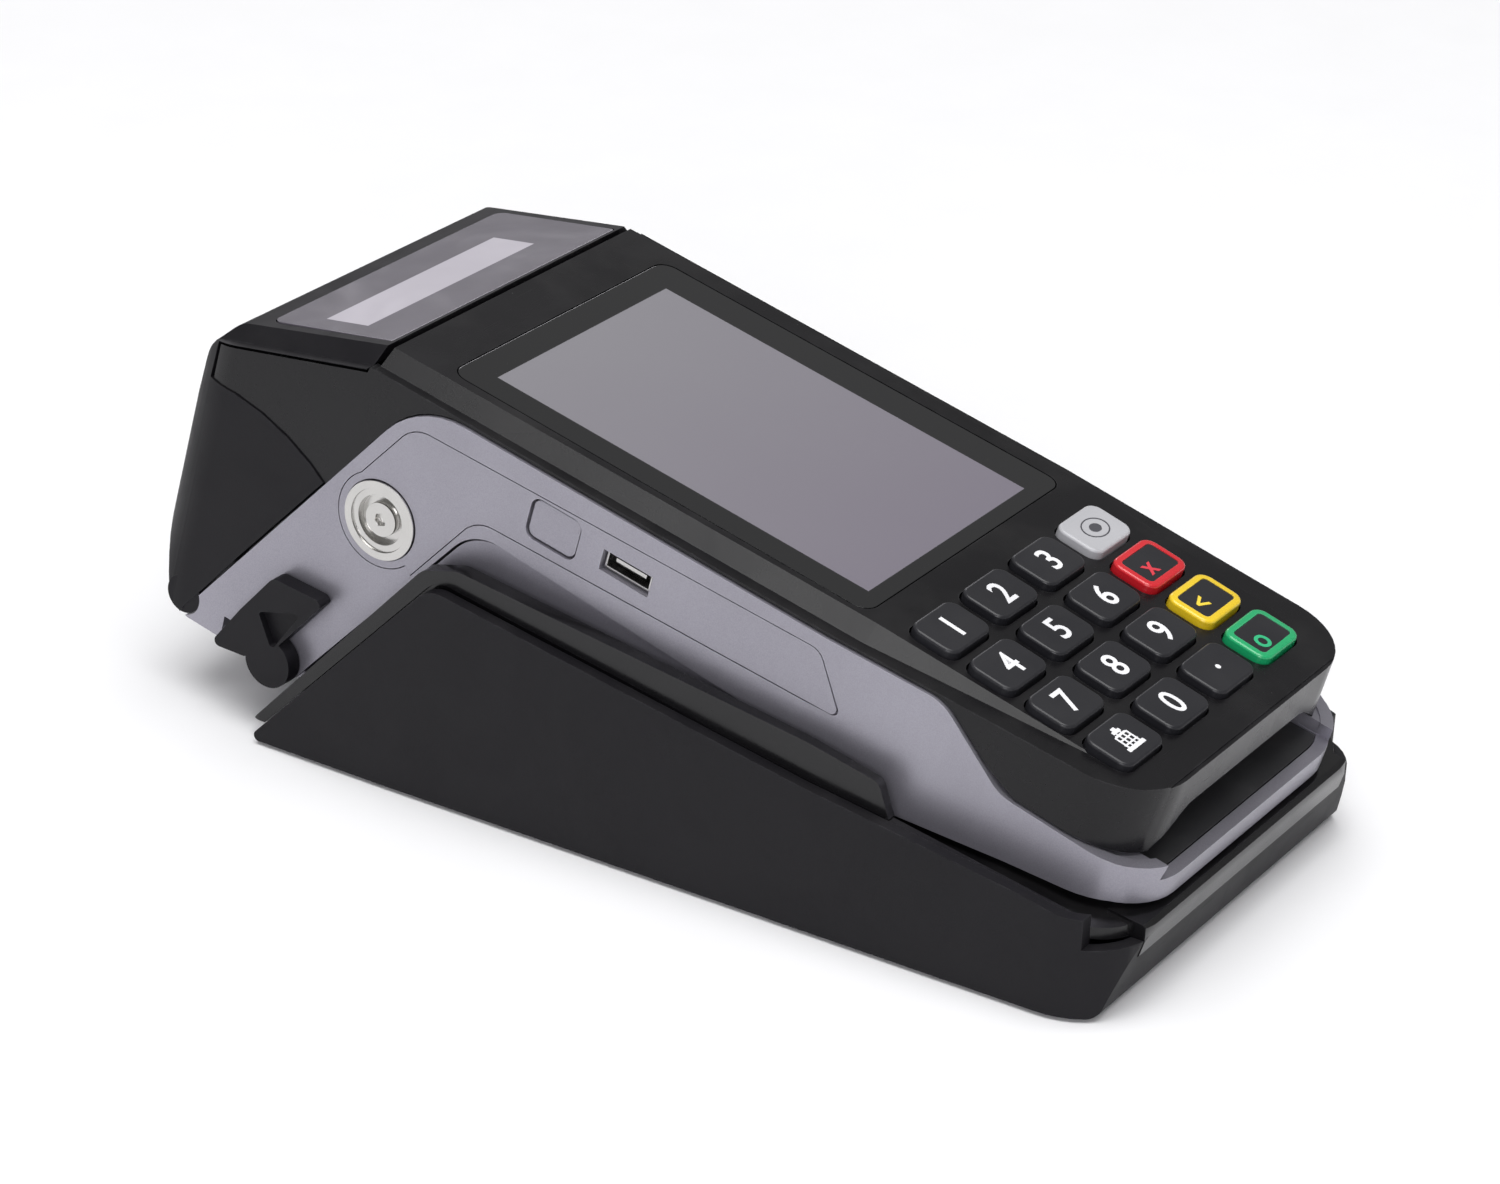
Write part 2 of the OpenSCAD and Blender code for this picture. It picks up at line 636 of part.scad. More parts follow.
card_z = -15;
module card_reader() color("#26262a") docked() difference() {
    union() {
        block([-31, -40, -18.2], [31, 26, -11.4]);
        // tongue that floors the card mouth
        slab(-18.7, -17.6) intersection() {
            polygon(body_plan(wall + 0.2));
            translate([-28.2, -61]) square([56.4, 21.1]);
        }
    }
    block([-27.2, -41, card_z - 0.6], [27.2, 24, card_z + 0.6]);
    block([-27.2, -41, card_z - 2.2], [27.2, -36, card_z + 2.2]);
}

module swipe_reader() color("#26262a") docked() difference() {
    block([swipe_x0 - 1.7, 0, -9], [swipe_x1 + 0.1, 72, -3.9]);
    block([swipe_x0, -1, -7.4], [swipe_x1, 73, 0]);
}

module speaker() color("#303036") docked() translate([-14, 52, -18.4]) {
    cylinder(r = 10, h = 5.2);
    translate([0, 0, 5.2]) cylinder(r = 4, h = 1.4);
}

// ---- printer --------------------------------------------------------------------------------

module printer_frame() color("#3a3a40") docked() difference() {
    union() {
        block([-30, 79.8, -16], [30, 85.4, -6.6]);
        side(1.5, 30.05) polygon([
            [79.8, -6.6], [87, -6.6], [87, -20], [84, -32], [70.8, -32], [69, -26], [69, -13], [74, -10]]);
        side(1.5, -30.05) polygon([[79.8, -6.6], [87, -6.6], [87, -16], [79.8, -16]]);
        rod_x(30, gear_x1 + 0.6, idler_at, 1.5);
    }
    rod_x(29, 32, motor_at, 3.2);
}

module print_head() color("#c8c4b8") docked() block([-28, 85.4, -16], [28, 87.8, -6.4]);

module tear_bar() color("#b4b6b8") docked() along(deck_end, deck_end + 0.5)
    polygon(concat([[29, -2.9], [-29, -2.9]],
                   [for (i = [0 : 57]) [-29 + i, i % 2 == 0 ? -1.7 : -1.1]], [[29, -1.7]]));

module stepper_motor() color("#a0a0a4") docked() difference() {
    union() {
        rod_x(10, 29.2, motor_at, 7);
        rod_x(29.2, 30.8, motor_at, 3.1);
    }
    rod_x(20, 40, motor_at, 1 + fit);
}

module motor_pinion() color("#d9d2b0") docked() {
    gear(0, motor_at, pinion_phase);
    rod_x(24, gear_x1, motor_at, 1);
}

module idler_gear() color("#d9d2b0") docked() difference() {
    gear(1, idler_at, idler_phase);
    rod_x(30, 40, idler_at, 1.5 + fit);
}

shaft_r = 1.5;
module platen_roller() color("#1a1a1a") docked() {
    rod_x(-28.8, 28.8, platen_at, platen_r);
    rod_x(-31.4, 31.4, platen_at, shaft_r);
}

module platen_gear() color("#d9d2b0") docked() {
    gear(2, platen_at, platen_phase);
    rod_x(31.4, gear_x0, platen_at, 2.4);
}

module paper_roll() color("#f2f1ec") docked() difference() {
    rod_x(-paper_w / 2, paper_w / 2, roll_at, roll_r);
    rod_x(-far, far, roll_at, 6.5);
}

// ---- paper lid ------------------------------------------------------------------------------

lid_t = 2.4;
lid_gap = 0.5;
lid_back = [[118.6, -10.7, 4], [122.6, -17, 8], [124.8, -34, 30], [124.9, -50, 22], [119.5, -63.4, 4]];

module lid_region() polygon(rounded(concat(
    [[kink_y + lid_gap, -0.2, 0]], lid_back,
    [[hinge.x, hinge.y - hinge_r, 0], [band_line(-50, 0.7), -50, 0], [kink_y + lid_gap, -21.5, 0]])));

module lid_inside() polygon(rounded(concat(
    [[kink_y - 10, -2.4, 0], [kink_y + 0.6, -2.8, 0]],
    [for (p = lid_back) [p.x - lid_t, p.y - (p.y > -15 ? lid_t : 0), p.z > 5 ? p.z - 2 : 0]],
    [[110, -64, 0], [84, -60, 0], [70, -20, 0]])));

module lid_roof() translate([0, kink_y, 0]) rotate([-lid_slope, 0, 0]) translate([0, -kink_y, 0])
    along(kink_y - 20, kink_y + 60) polygon([
        [deck_hw, 0], [deck_hw + 3, -bevel_drop], [60, -bevel_drop - 0.2], [60, -100],
        [-60, -100], [-60, -bevel_drop - 0.2], [-deck_hw - 3, -bevel_drop], [-deck_hw, 0]]);

// Top face of the lid's window seat, in the lid's sloping plane
module on_lid_slope() translate([0, kink_y, 0]) rotate([-lid_slope, 0, 0]) children();
window_hw = 32.2;
window_y = [1.1, 26.2];
module window_outline(inset) polygon(rounded([
    [window_hw - inset, window_y[0] + inset, 0.6], [window_hw - inset, window_y[1] - inset, 2],
    [-window_hw + inset, window_y[1] - inset, 2], [-window_hw + inset, window_y[0] + inset, 0.6]]));

module paper_lid() color("#1b1b1e") docked() difference() {
    union() {
        difference() {
            intersection() {
                slab(-70, 1) polygon(body_plan(0.2));
                side(far) lid_region();
                lid_roof();
            }
            intersection() {
                slab(-70, 1) polygon(body_plan(wall + 0.3));
                side(far) lid_inside();
            }
            // room for the cover's ears and for the silver band
            intersection() {
                slab(-70, 1) difference() {
                    polygon(body_plan(-2));
                    polygon(body_plan(2.6 + gap));
                }
                side(far) polygon(concat([[kink_y - 8, -3.2], [kink_y + 0.6, -3.2], [120, -13.7]],
                    arc(hinge, ear_r - seam, 84.2, 124.9), [[80, -25]]));
            }
            side(far) translate([0.5, 0]) polygon(band_profile);
        }
        // hinge barrels and the webs that carry them
        for (span = [[-38.6, -20], [-8, 8], [20, 38.6]]) {
            rod_x(span[0], span[1], hinge, hinge_r);
        }
        for (x = [-28, 0, 28]) block([x - 8, hinge.x + 1, -64], [x + 8, 121, -57]);
        // trough that carries the paper
        side(2 * 31) polygon(concat(arc(roll_at, 22.4, -120, -4), reversed(arc(roll_at, 20.9, -120, -4))));
        // arms of the platen roller
        both_sides() side(1.5, 30.05) polygon([[90.6, -2], [99, -5], [97, -12], [94, -13.6], [91, -13]]);
    }
    rod_x(-36.6, 36.6, hinge, pin_r + fit);
    rod_x(-31.5, 31.5, platen_at, shaft_r + fit);
    on_lid_slope() slab(-1.1, 2) window_outline(0);
    on_lid_slope() block([-24, 9.6, -6], [24, 18, 1]);
    // the hinge's own knuckles on the housing
    for (x = [-14, 14]) rod_x(x - 5.8, x + 5.8, hinge, hinge_r + 0.3);
}

module lid_window() color("#7c7884") docked() on_lid_slope() slab(-1, 0) window_outline(0.15);

module lid_hinge_pin() color("#a9a9ad") docked() rod_x(-36.4, 36.4, hinge, pin_r);

// Lever that frees the lid: an arm on each side and a cross bar under the paper bay
module lid_catch() color("#161618") docked() difference() {
    union() {
        both_sides() {
            side(3, 40.9) polygon(rounded([
                [86.7, -46.8, 0.6], [87.8, -46, 0.8], [97, -46.8, 2], [101.9, -56, 3], [106.4, -65.6, 1],
                [99.2, -64.2, 0.6], [94, -60.2, 0]]));
            rod_x(39.4, 42.4, catch_curl, 4.6);
        }
        side(2 * 40) polygon(rounded([
            [99.4, -65.8, 0.8], [99.4, -62.4, 0.8], [105.4, -62.4, 0.8], [105.9, -65.8, 0.8]]));
    }
    both_sides() side(3.2, 42.5) polygon(rounded([[98.4, -54.5, 0.6], [89.9, -50, 0.6], [94.2, -60, 0.6]]));
    rod_x(-41.2, 41.2, catch_at, catch_pin_r + fit);
}

module catch_pins() color("#a9a9ad") docked() both_sides() rod_x(33.4, 41, catch_at, catch_pin_r);

base_shell();
base_tray();
base_bottom();
base_feet();
base_board();
power_jack();
base_screws();
charge_pins();
top_cover();
display_lens();
lcd_module();
keypad_mat();
main_board();
mid_housing();
bottom_cover();
battery_pack();
service_panel();
seal_cup();
seal_screw();
side_button();
usb_port();
card_reader();
swipe_reader();
speaker();
printer_frame();
print_head();
tear_bar();
stepper_motor();
motor_pinion();
idler_gear();
platen_roller();
platen_gear();
paper_lid();
lid_window();
lid_hinge_pin();
paper_roll();
lid_catch();
catch_pins();
charge_contacts();
housing_screws();
color("#26262b") key(0, 0);  // key_1
color("#26262b") key(1, 0);  // key_2
color("#26262b") key(2, 0);  // key_3
color("#b4b4b8") key(3, 0);  // key_menu
color("#26262b") key(0, 1);  // key_4
color("#26262b") key(1, 1);  // key_5
color("#26262b") key(2, 1);  // key_6
color("#d8232f") framed_key(3, 1);  // key_cancel
color("#26262b") key(0, 2);  // key_7
color("#26262b") key(1, 2);  // key_8
color("#26262b") key(2, 2);  // key_9
color("#f2cf1d") framed_key(3, 2);  // key_clear
color("#26262b") key(0, 3);  // key_feed
color("#26262b") key(1, 3);  // key_0
color("#26262b") key(2, 3);  // key_dot
color("#17a860") framed_key(3, 3);  // key_enter
inlay(3, 1);  // cancel_inlay
inlay(3, 2);  // clear_inlay
inlay(3, 3);  // enter_inlay
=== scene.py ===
"""Looks for a countertop card payment terminal seated in its charging base.

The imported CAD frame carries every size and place. Each class below dresses one sub-assembly:
the charging base, the silver housing, the black cover, the display, the keypad, the paper lid
with its printer, and the small parts let into the sides. Lengths are in metres.
"""

import json
import logging
import math
from dataclasses import dataclass, field
from enum import Enum
from typing import Any, Callable, Optional, Sequence

import bpy
from mathutils import Matrix, Vector

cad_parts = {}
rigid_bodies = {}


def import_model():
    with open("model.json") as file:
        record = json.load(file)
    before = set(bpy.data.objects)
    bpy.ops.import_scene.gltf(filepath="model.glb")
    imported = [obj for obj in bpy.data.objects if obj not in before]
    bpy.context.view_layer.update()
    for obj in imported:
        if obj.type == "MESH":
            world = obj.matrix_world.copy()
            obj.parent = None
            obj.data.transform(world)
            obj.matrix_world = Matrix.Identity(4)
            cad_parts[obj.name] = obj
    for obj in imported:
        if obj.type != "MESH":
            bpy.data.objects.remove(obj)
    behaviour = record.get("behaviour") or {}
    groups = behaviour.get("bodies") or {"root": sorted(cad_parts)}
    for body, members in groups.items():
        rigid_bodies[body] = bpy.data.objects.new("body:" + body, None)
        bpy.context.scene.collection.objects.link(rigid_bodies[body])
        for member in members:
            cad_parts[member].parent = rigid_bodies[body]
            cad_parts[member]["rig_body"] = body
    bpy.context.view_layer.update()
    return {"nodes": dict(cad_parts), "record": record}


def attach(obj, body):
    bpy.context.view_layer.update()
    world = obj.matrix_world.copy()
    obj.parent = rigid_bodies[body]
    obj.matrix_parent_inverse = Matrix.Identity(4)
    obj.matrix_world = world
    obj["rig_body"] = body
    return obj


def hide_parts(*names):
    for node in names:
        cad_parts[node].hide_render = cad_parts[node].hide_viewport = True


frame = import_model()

log = logging.getLogger("terminal")

MM = 0.001
Colour = tuple[float, float, float]

# The terminal's own frame: x across, y towards the printer, z out of the display
SEAT = Vector((0.0, -37.8, 52.1)) * MM
DOCK_TILT = math.radians(13.6)
DOCKED = Matrix.Translation(SEAT) @ Matrix.Rotation(DOCK_TILT, 4, "X")
KEY_TILT = math.radians(3.4)
KEY_PLANE = DOCKED @ Matrix.Translation((0, -6 * MM, 0)) @ Matrix.Rotation(KEY_TILT, 4, "X")
LID_SLOPE = math.radians(-20)
LID_PLANE = DOCKED @ Matrix.Translation((0, 90 * MM, 0)) @ Matrix.Rotation(LID_SLOPE, 4, "X")
# The near side of the terminal: local x runs to the printer, local y up, local z outwards
NEAR_SIDE = DOCKED @ Matrix(((0, 0, -1, 0), (1, 0, 0, 0), (0, 1, 0, 0), (0, 0, 0, 1)))


class Sign(Enum):
    """What is printed on a key's top."""

    GLYPH = "glyph"
    OVALS = "ovals"
    RECEIPT = "receipt"


# ---- modelling -------------------------------------------------------------------------------


def focus(piece: bpy.types.Object) -> None:
    """Selects one piece alone and makes it active.

    Args:
        piece: The piece to work on.
    """
    if bpy.context.object and bpy.context.object.mode != "OBJECT":
        bpy.ops.object.mode_set(mode="OBJECT")
    bpy.ops.object.select_all(action="DESELECT")
    piece.hide_set(False)
    piece.select_set(True)
    bpy.context.view_layer.objects.active = piece


def clear_selection() -> None:
    """Deselects everything, so that an operator acts on new geometry only."""
    bpy.ops.object.select_all(action="DESELECT")


def named(name: str) -> bpy.types.Object:
    """Names the active piece and its mesh.

    Args:
        name: The new name.

    Returns:
        The active piece.
    """
    piece = bpy.context.object
    piece.name = name
    piece.data.name = name
    return piece


def settle(piece: bpy.types.Object, place: Matrix = Matrix.Identity(4)) -> bpy.types.Object:
    """Moves a piece into its place and writes that place into its mesh.

    Args:
        piece: The piece, still drawn in a local frame.
        place: That local frame, seen from the row frame.

    Returns:
        The same piece, with its object at the origin.
    """
    focus(piece)
    piece.matrix_world = place @ piece.matrix_world
    bpy.ops.object.transform_apply(location=True, rotation=True, scale=True)
    return piece


def pick_faces(piece: bpy.types.Object, test: Callable[[Vector, Vector], bool]) -> int:
    """Selects the faces that pass a test and opens the piece in edit mode.

    Args:
        piece: The piece.
        test: Takes a face's centre and normal in the piece's own frame.

    Returns:
        How many faces are selected.
    """
    focus(piece)
    mesh = piece.data
    mesh.vertices.foreach_set("select", [False] * len(mesh.vertices))
    mesh.edges.foreach_set("select", [False] * len(mesh.edges))
    chosen = [test(face.center, face.normal) for face in mesh.polygons]
    mesh.polygons.foreach_set("select", chosen)
    bpy.context.tool_settings.mesh_select_mode = (False, False, True)
    bpy.ops.object.mode_set(mode="EDIT")
    return sum(chosen)


def pick_edges(piece: bpy.types.Object, test: Callable[[Vector, Vector], bool]) -> int:
    """Selects the edges that pass a test and opens the piece in edit mode.

    Args:
        piece: The piece.
        test: Takes an edge's two ends in the piece's own frame.

    Returns:
        How many edges are selected.
    """
    focus(piece)
    mesh = piece.data
    mesh.vertices.foreach_set("select", [False] * len(mesh.vertices))
    mesh.polygons.foreach_set("select", [False] * len(mesh.polygons))
    ends = [(mesh.vertices[e.vertices[0]].co, mesh.vertices[e.vertices[1]].co) for e in mesh.edges]
    chosen = [test(a, b) for a, b in ends]
    mesh.edges.foreach_set("select", chosen)
    bpy.context.tool_settings.mesh_select_mode = (False, True, False)
    bpy.ops.object.mode_set(mode="EDIT")
    return sum(chosen)


def leave_edit() -> None:
    """Goes back to object mode."""
    bpy.ops.object.mode_set(mode="OBJECT")


def smooth(piece: bpy.types.Object, angle: float = 32.0) -> None:
    """Shades a piece smooth across its shallow edges.

    Args:
        piece: The piece.
        angle: Edges turning less than this many degrees are smooth.
    """
    focus(piece)
    bpy.ops.object.shade_smooth_by_angle(angle=math.radians(angle))


def round_edges(piece: bpy.types.Object, radius: float, segments: int = 2, angle: float = 30.0) -> None:
    """Rounds a piece's sharp edges with a bevel that is applied.

    Args:
        piece: The piece.
        radius: Width of the rounding.
        segments: Steps across the rounding.
        angle: Edges sharper than this many degrees are rounded.
    """
    focus(piece)
    bevel = piece.modifiers.new("rounding", "BEVEL")
    bevel.width = radius
    bevel.segments = segments
    bevel.limit_method = "ANGLE"
    bevel.angle_limit = math.radians(angle)
    bevel.miter_outer = "MITER_ARC"
    bevel.use_clamp_overlap = True
    bpy.ops.object.modifier_apply(modifier=bevel.name)


def even_shading(piece: bpy.types.Object) -> None:
    """Gives large flat faces the say over the shading at their rims.

    Args:
        piece: The piece.
    """
    focus(piece)
    weighted = piece.modifiers.new("shading", "WEIGHTED_NORMAL")
    weighted.keep_sharp = True
    weighted.weight = 80
    bpy.ops.object.modifier_apply(modifier=weighted.name)


def moulded_copy(node: str, radius: float, segments: int = 2, angle: float = 30.0) -> bpy.types.Object:
    """Copies a CAD node, merges its triangles into faces and rounds its edges.

    Args:
        node: The CAD node.
        radius: Width of the rounding, or 0 for none.
        segments: Steps across the rounding.
        angle: Edges sharper than this many degrees are rounded.

    Returns:
        The finished piece, which stands for the node.
    """
    source = frame["nodes"][node]
    piece = bpy.data.objects.new(f"{node}_finished", source.data.copy())
    piece.data.name = piece.name
    piece.data.materials.clear()
    bpy.context.scene.collection.objects.link(piece)
    focus(piece)
    if piece.data.has_custom_normals:
        bpy.ops.mesh.customdata_custom_splitnormals_clear()
    bpy.context.tool_settings.mesh_select_mode = (True, False, False)
    bpy.ops.object.mode_set(mode="EDIT")
    bpy.ops.mesh.select_all(action="SELECT")
    bpy.ops.mesh.remove_doubles(threshold=0.002 * MM)
    bpy.ops.mesh.mark_sharp(clear=True)
    bpy.ops.mesh.dissolve_limited(angle_limit=math.radians(0.6), delimit={"NORMAL"})
    bpy.ops.mesh.select_all(action="DESELECT")
    leave_edit()
    if radius > 0:
        round_edges(piece, radius, segments, angle)
    smooth(piece)
    even_shading(piece)
    body = source["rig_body"]
    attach(piece, body)
    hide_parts(node)
    return piece


def own_piece(piece: bpy.types.Object, body: str, finish: "Finish") -> bpy.types.Object:
    """Dresses a new piece and lets it ride on a body.

    Args:
        piece: The settled piece.
        body: Name of the CAD body.
        finish: What it is made of.

    Returns:
        The same piece.
    """
    dress(piece, finish)
    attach(piece, body)
    log.info("piece %s on %s, %d faces", piece.name, body, len(piece.data.polygons))
    return piece


SLOT_OF: dict[str, str] = {s["node"]: s["material_slot"] for s in frame["record"]["subparts"]}


# ---- shader wiring ---------------------------------------------------------------------------


class Wiring:
    """Adds nodes to one node tree and joins them."""

    def __init__(self, tree: bpy.types.NodeTree) -> None:
        """Keeps the tree.

        Args:
            tree: The node tree to build in.
        """
        self.tree = tree

    def add(self, kind: str, inputs: Optional[dict[Any, Any]] = None, **settings: Any) -> bpy.types.Node:
        """Adds a node, sets it up and fills its inputs.

        Args:
            kind: The node's type name.
            inputs: Values or output sockets by input name or index.
            **settings: Attributes of the node.

        Returns:
            The node.
        """
        made = self.tree.nodes.new(kind)
        for key, value in settings.items():
            setattr(made, key, value)
        for key, value in (inputs or {}).items():
            if isinstance(value, bpy.types.NodeSocket):
                self.tree.links.new(value, made.inputs[key])
            else:
                made.inputs[key].default_value = value
        return made

    def link(self, source: bpy.types.NodeSocket, target: bpy.types.NodeSocket) -> None:
        """Joins an output to an input."""
        self.tree.links.new(source, target)

    def math(self, operation: str, first: Any, second: Any = 0.0,
             clamp: bool = False) -> bpy.types.NodeSocket:
        """Adds a Math node.

        Args:
            operation: The node's operation.
            first: Its first value or socket.
            second: Its second value or socket.
            clamp: Whether the result is held between 0 and 1.

        Returns:
            The result.
        """
        made = self.add("ShaderNodeMath", {0: first, 1: second}, operation=operation, use_clamp=clamp)
        return made.outputs[0]

    def remap(self, value: Any, low: float, high: float, to_low: float = 0.0,
              to_high: float = 1.0) -> bpy.types.NodeSocket:
        """Adds a clamped Map Range node.

        Args:
            value: The incoming socket.
            low: Start of the incoming range.
            high: End of the incoming range.
            to_low: Start of the outgoing range.
            to_high: End of the outgoing range.

        Returns:
            The mapped value.
        """
        made = self.add("ShaderNodeMapRange", {"Value": value, "From Min": low, "From Max": high,
                                               "To Min": to_low, "To Max": to_high})
        return made.outputs["Result"]

    def mix(self, share: Any, first: Any, second: Any) -> bpy.types.NodeSocket:
        """Adds a colour Mix node.

        Args:
            share: How much of the second colour shows.
            first: The first colour or socket.
            second: The second colour or socket.

        Returns:
            The mixed colour.
        """
        made = self.add("ShaderNodeMix", data_type="RGBA")
        for index, value in ((0, share), (6, first), (7, second)):
            if isinstance(value, bpy.types.NodeSocket):
                self.tree.links.new(value, made.inputs[index])
            elif index:
                made.inputs[index].default_value = (*value, 1.0)
            else:
                made.inputs[index].default_value = value
        return made.outputs[2]


GROUPS: dict[str, bpy.types.NodeTree] = {}


def effect(name: str, inputs: Sequence[tuple[str, str, float]], outputs: Sequence[tuple[str, str]],
           build: Callable[[Wiring, bpy.types.Node], dict[str, bpy.types.NodeSocket]]) -> bpy.types.NodeTree:
    """Builds a shader node group once and returns it.

    Args:
        name: The group's name.
        inputs: Name, socket type and default of each input.
        outputs: Name and socket type of each output.
        build: Fills the group and returns its output sockets by name.

    Returns:
        The group.
    """
    if name in GROUPS:
        return GROUPS[name]
    tree = bpy.data.node_groups.new(name, "ShaderNodeTree")
    for label, kind, default in inputs:
        socket = tree.interface.new_socket(label, in_out="INPUT", socket_type=kind)
        if kind == "NodeSocketFloat":
            socket.default_value = default
    for label, kind in outputs:
        tree.interface.new_socket(label, in_out="OUTPUT", socket_type=kind)
    wiring = Wiring(tree)
    entry = tree.nodes.new("NodeGroupInput")
    leave = tree.nodes.new("NodeGroupOutput")
    for label, socket in build(wiring, entry).items():
        tree.links.new(socket, leave.inputs[label])
    GROUPS[name] = tree
    return tree


FLOAT = "NodeSocketFloat"
VECTOR = "NodeSocketVector"


def mould_grain() -> bpy.types.NodeTree:
    """The fine sparkle of a spark-eroded mould: a height, and slow blotches.

    Returns:
        The node group.
    """
    def build(w: Wiring, entry: bpy.types.Node) -> dict[str, bpy.types.NodeSocket]:
        """Fills the group.

        Args:
            w: Wiring of the group.
            entry: The group's input node.

        Returns:
            The outputs.
        """
        place, scale = entry.outputs["Vector"], entry.outputs["Scale"]
        pits = w.add("ShaderNodeTexVoronoi", {"Vector": place, "Scale": scale}, feature="SMOOTH_F1")
        fine = w.add("ShaderNodeTexNoise", {"Vector": place, "Scale": w.math("MULTIPLY", scale, 0.7),
                                            "Detail": 3.0, "Roughness": 0.6})
        slow = w.add("ShaderNodeTexNoise", {"Vector": place, "Scale": 42.0, "Detail": 3.0, "Roughness": 0.55})
        height = w.math("ADD", w.math("MULTIPLY", pits.outputs["Distance"], 0.55),
                        w.math("MULTIPLY", fine.outputs["Fac"], 0.45))
        return {"Height": height, "Blotch": w.remap(slow.outputs["Fac"], 0.3, 0.7)}
    return effect("mould_grain", [("Vector", VECTOR, 0), ("Scale", FLOAT, 4200.0)],
                  [("Height", FLOAT), ("Blotch", FLOAT)], build)


def edge_wear_and_highlight() -> bpy.types.NodeTree:
    """Where handling has polished or bared the edges, and where edges carry a painted highlight: a mask.

    Returns:
        The node group.
    """
    def build(w: Wiring, entry: bpy.types.Node) -> dict[str, bpy.types.NodeSocket]:
        """Fills the group.

        Args:
            w: Wiring of the group.
            entry: The group's input node.

        Returns:
            The outputs.
        """
        rounded = w.add("ShaderNodeBevel", {"Radius": entry.outputs["Radius"]}, samples=4)
        face = w.add("ShaderNodeNewGeometry")
        turn = w.add("ShaderNodeVectorMath", {0: rounded.outputs["Normal"], 1: face.outputs["Normal"]},
                     operation="DOT_PRODUCT")
        edge_nearness = w.remap(turn.outputs["Value"], 0.995, 0.86)
        patch = w.add("ShaderNodeTexNoise", {"Vector": entry.outputs["Vector"], "Scale": 260.0, "Detail": 5.0,
                                             "Roughness": 0.65})
        broken = w.math("MULTIPLY", edge_nearness, w.remap(patch.outputs["Fac"], 0.42, 0.66))
        return {"Mask": w.math("MULTIPLY", broken, entry.outputs["Amount"], clamp=True)}
    return effect("edge_wear_and_highlight", [("Vector", VECTOR, 0), ("Radius", FLOAT, 0.0004), ("Amount", FLOAT, 0.5)],
                  [("Mask", FLOAT)], build)


def settled_dust() -> bpy.types.NodeTree:
    """A thin film and single specks of dust on what faces up: a mask.

    Returns:
        The node group.
    """
    def build(w: Wiring, entry: bpy.types.Node) -> dict[str, bpy.types.NodeSocket]:
        """Fills the group.

        Args:
            w: Wiring of the group.
            entry: The group's input node.

        Returns:
            The outputs.
        """
        lean = w.add("ShaderNodeSeparateXYZ", {"Vector": entry.outputs["Normal"]})
        level = w.remap(lean.outputs["Z"], 0.35, 0.95)
        film = w.add("ShaderNodeTexNoise", {"Vector": entry.outputs["Vector"], "Scale": 65.0, "Detail": 4.0,
                                            "Roughness": 0.6})
        specks = w.add("ShaderNodeTexVoronoi", {"Vector": entry.outputs["Vector"], "Scale": 420.0})
        dots = w.remap(specks.outputs["Distance"], 0.075, 0.045)
        rare = w.add("ShaderNodeSeparateColor", {"Color": specks.outputs["Color"]})
        few = w.remap(rare.outputs["Red"], 0.86, 0.9)
        veil = w.math("MULTIPLY", w.remap(film.outputs["Fac"], 0.45, 0.75), 0.25)
        both = w.math("ADD", veil, w.math("MULTIPLY", dots, few))
        return {"Mask": w.math("MULTIPLY", w.math("MULTIPLY", both, level), entry.outputs["Amount"], clamp=True)}
    return effect("settled_dust", [("Vector", VECTOR, 0), ("Normal", VECTOR, 0), ("Amount", FLOAT, 0.3)],
                  [("Mask", FLOAT)], build)


def handling_smears() -> bpy.types.NodeTree:
    """Soft smears and hairline scuffs left by hands and cloths: two masks.

    Returns:
        The node group.
    """
    def build(w: Wiring, entry: bpy.types.Node) -> dict[str, bpy.types.NodeSocket]:
        """Fills the group.

        Args:
            w: Wiring of the group.
            entry: The group's input node.

        Returns:
            The outputs.
        """
        place = entry.outputs["Vector"]
        smear = w.add("ShaderNodeTexNoise", {"Vector": place, "Scale": 55.0, "Detail": 5.0, "Roughness": 0.55,
                                             "Distortion": 1.4})
        turned = w.add("ShaderNodeMapping", {"Vector": place, "Rotation": (0.0, 0.0, 0.6),
                                             "Scale": (1.0, 26.0, 9.0)})
        lines = w.add("ShaderNodeTexNoise", {"Vector": turned.outputs["Vector"], "Scale": 120.0, "Detail": 2.0})
        return {"Smear": w.remap(smear.outputs["Fac"], 0.42, 0.72),
                "Scuff": w.remap(lines.outputs["Fac"], 0.66, 0.74)}
    return effect("handling_smears", [("Vector", VECTOR, 0)], [("Smear", FLOAT), ("Scuff", FLOAT)], build)


def turned_rings() -> bpy.types.NodeTree:
    """Fine lathe rings round the local z axis: a value.

    Returns:
        The node group.
    """
    def build(w: Wiring, entry: bpy.types.Node) -> dict[str, bpy.types.NodeSocket]:
        """Fills the group.

        Args:
            w: Wiring of the group.
            entry: The group's input node.

        Returns:
            The outputs.
        """
        parts = w.add("ShaderNodeSeparateXYZ", {"Vector": entry.outputs["Vector"]})
        square = w.math("ADD", w.math("MULTIPLY", parts.outputs["X"], parts.outputs["X"]),
                        w.math("MULTIPLY", parts.outputs["Y"], parts.outputs["Y"]))
        radius = w.math("SQRT", square)
        rings = w.add("ShaderNodeTexNoise", {"W": w.math("MULTIPLY", radius, entry.outputs["Scale"]),
                                             "Scale": 1.0, "Detail": 3.0}, noise_dimensions="1D")
        return {"Rings": rings.outputs["Fac"]}
    return effect("turned_rings", [("Vector", VECTOR, 0), ("Scale", FLOAT, 9000.0)], [("Rings", FLOAT)], build)


# ---- finishes --------------------------------------------------------------------------------


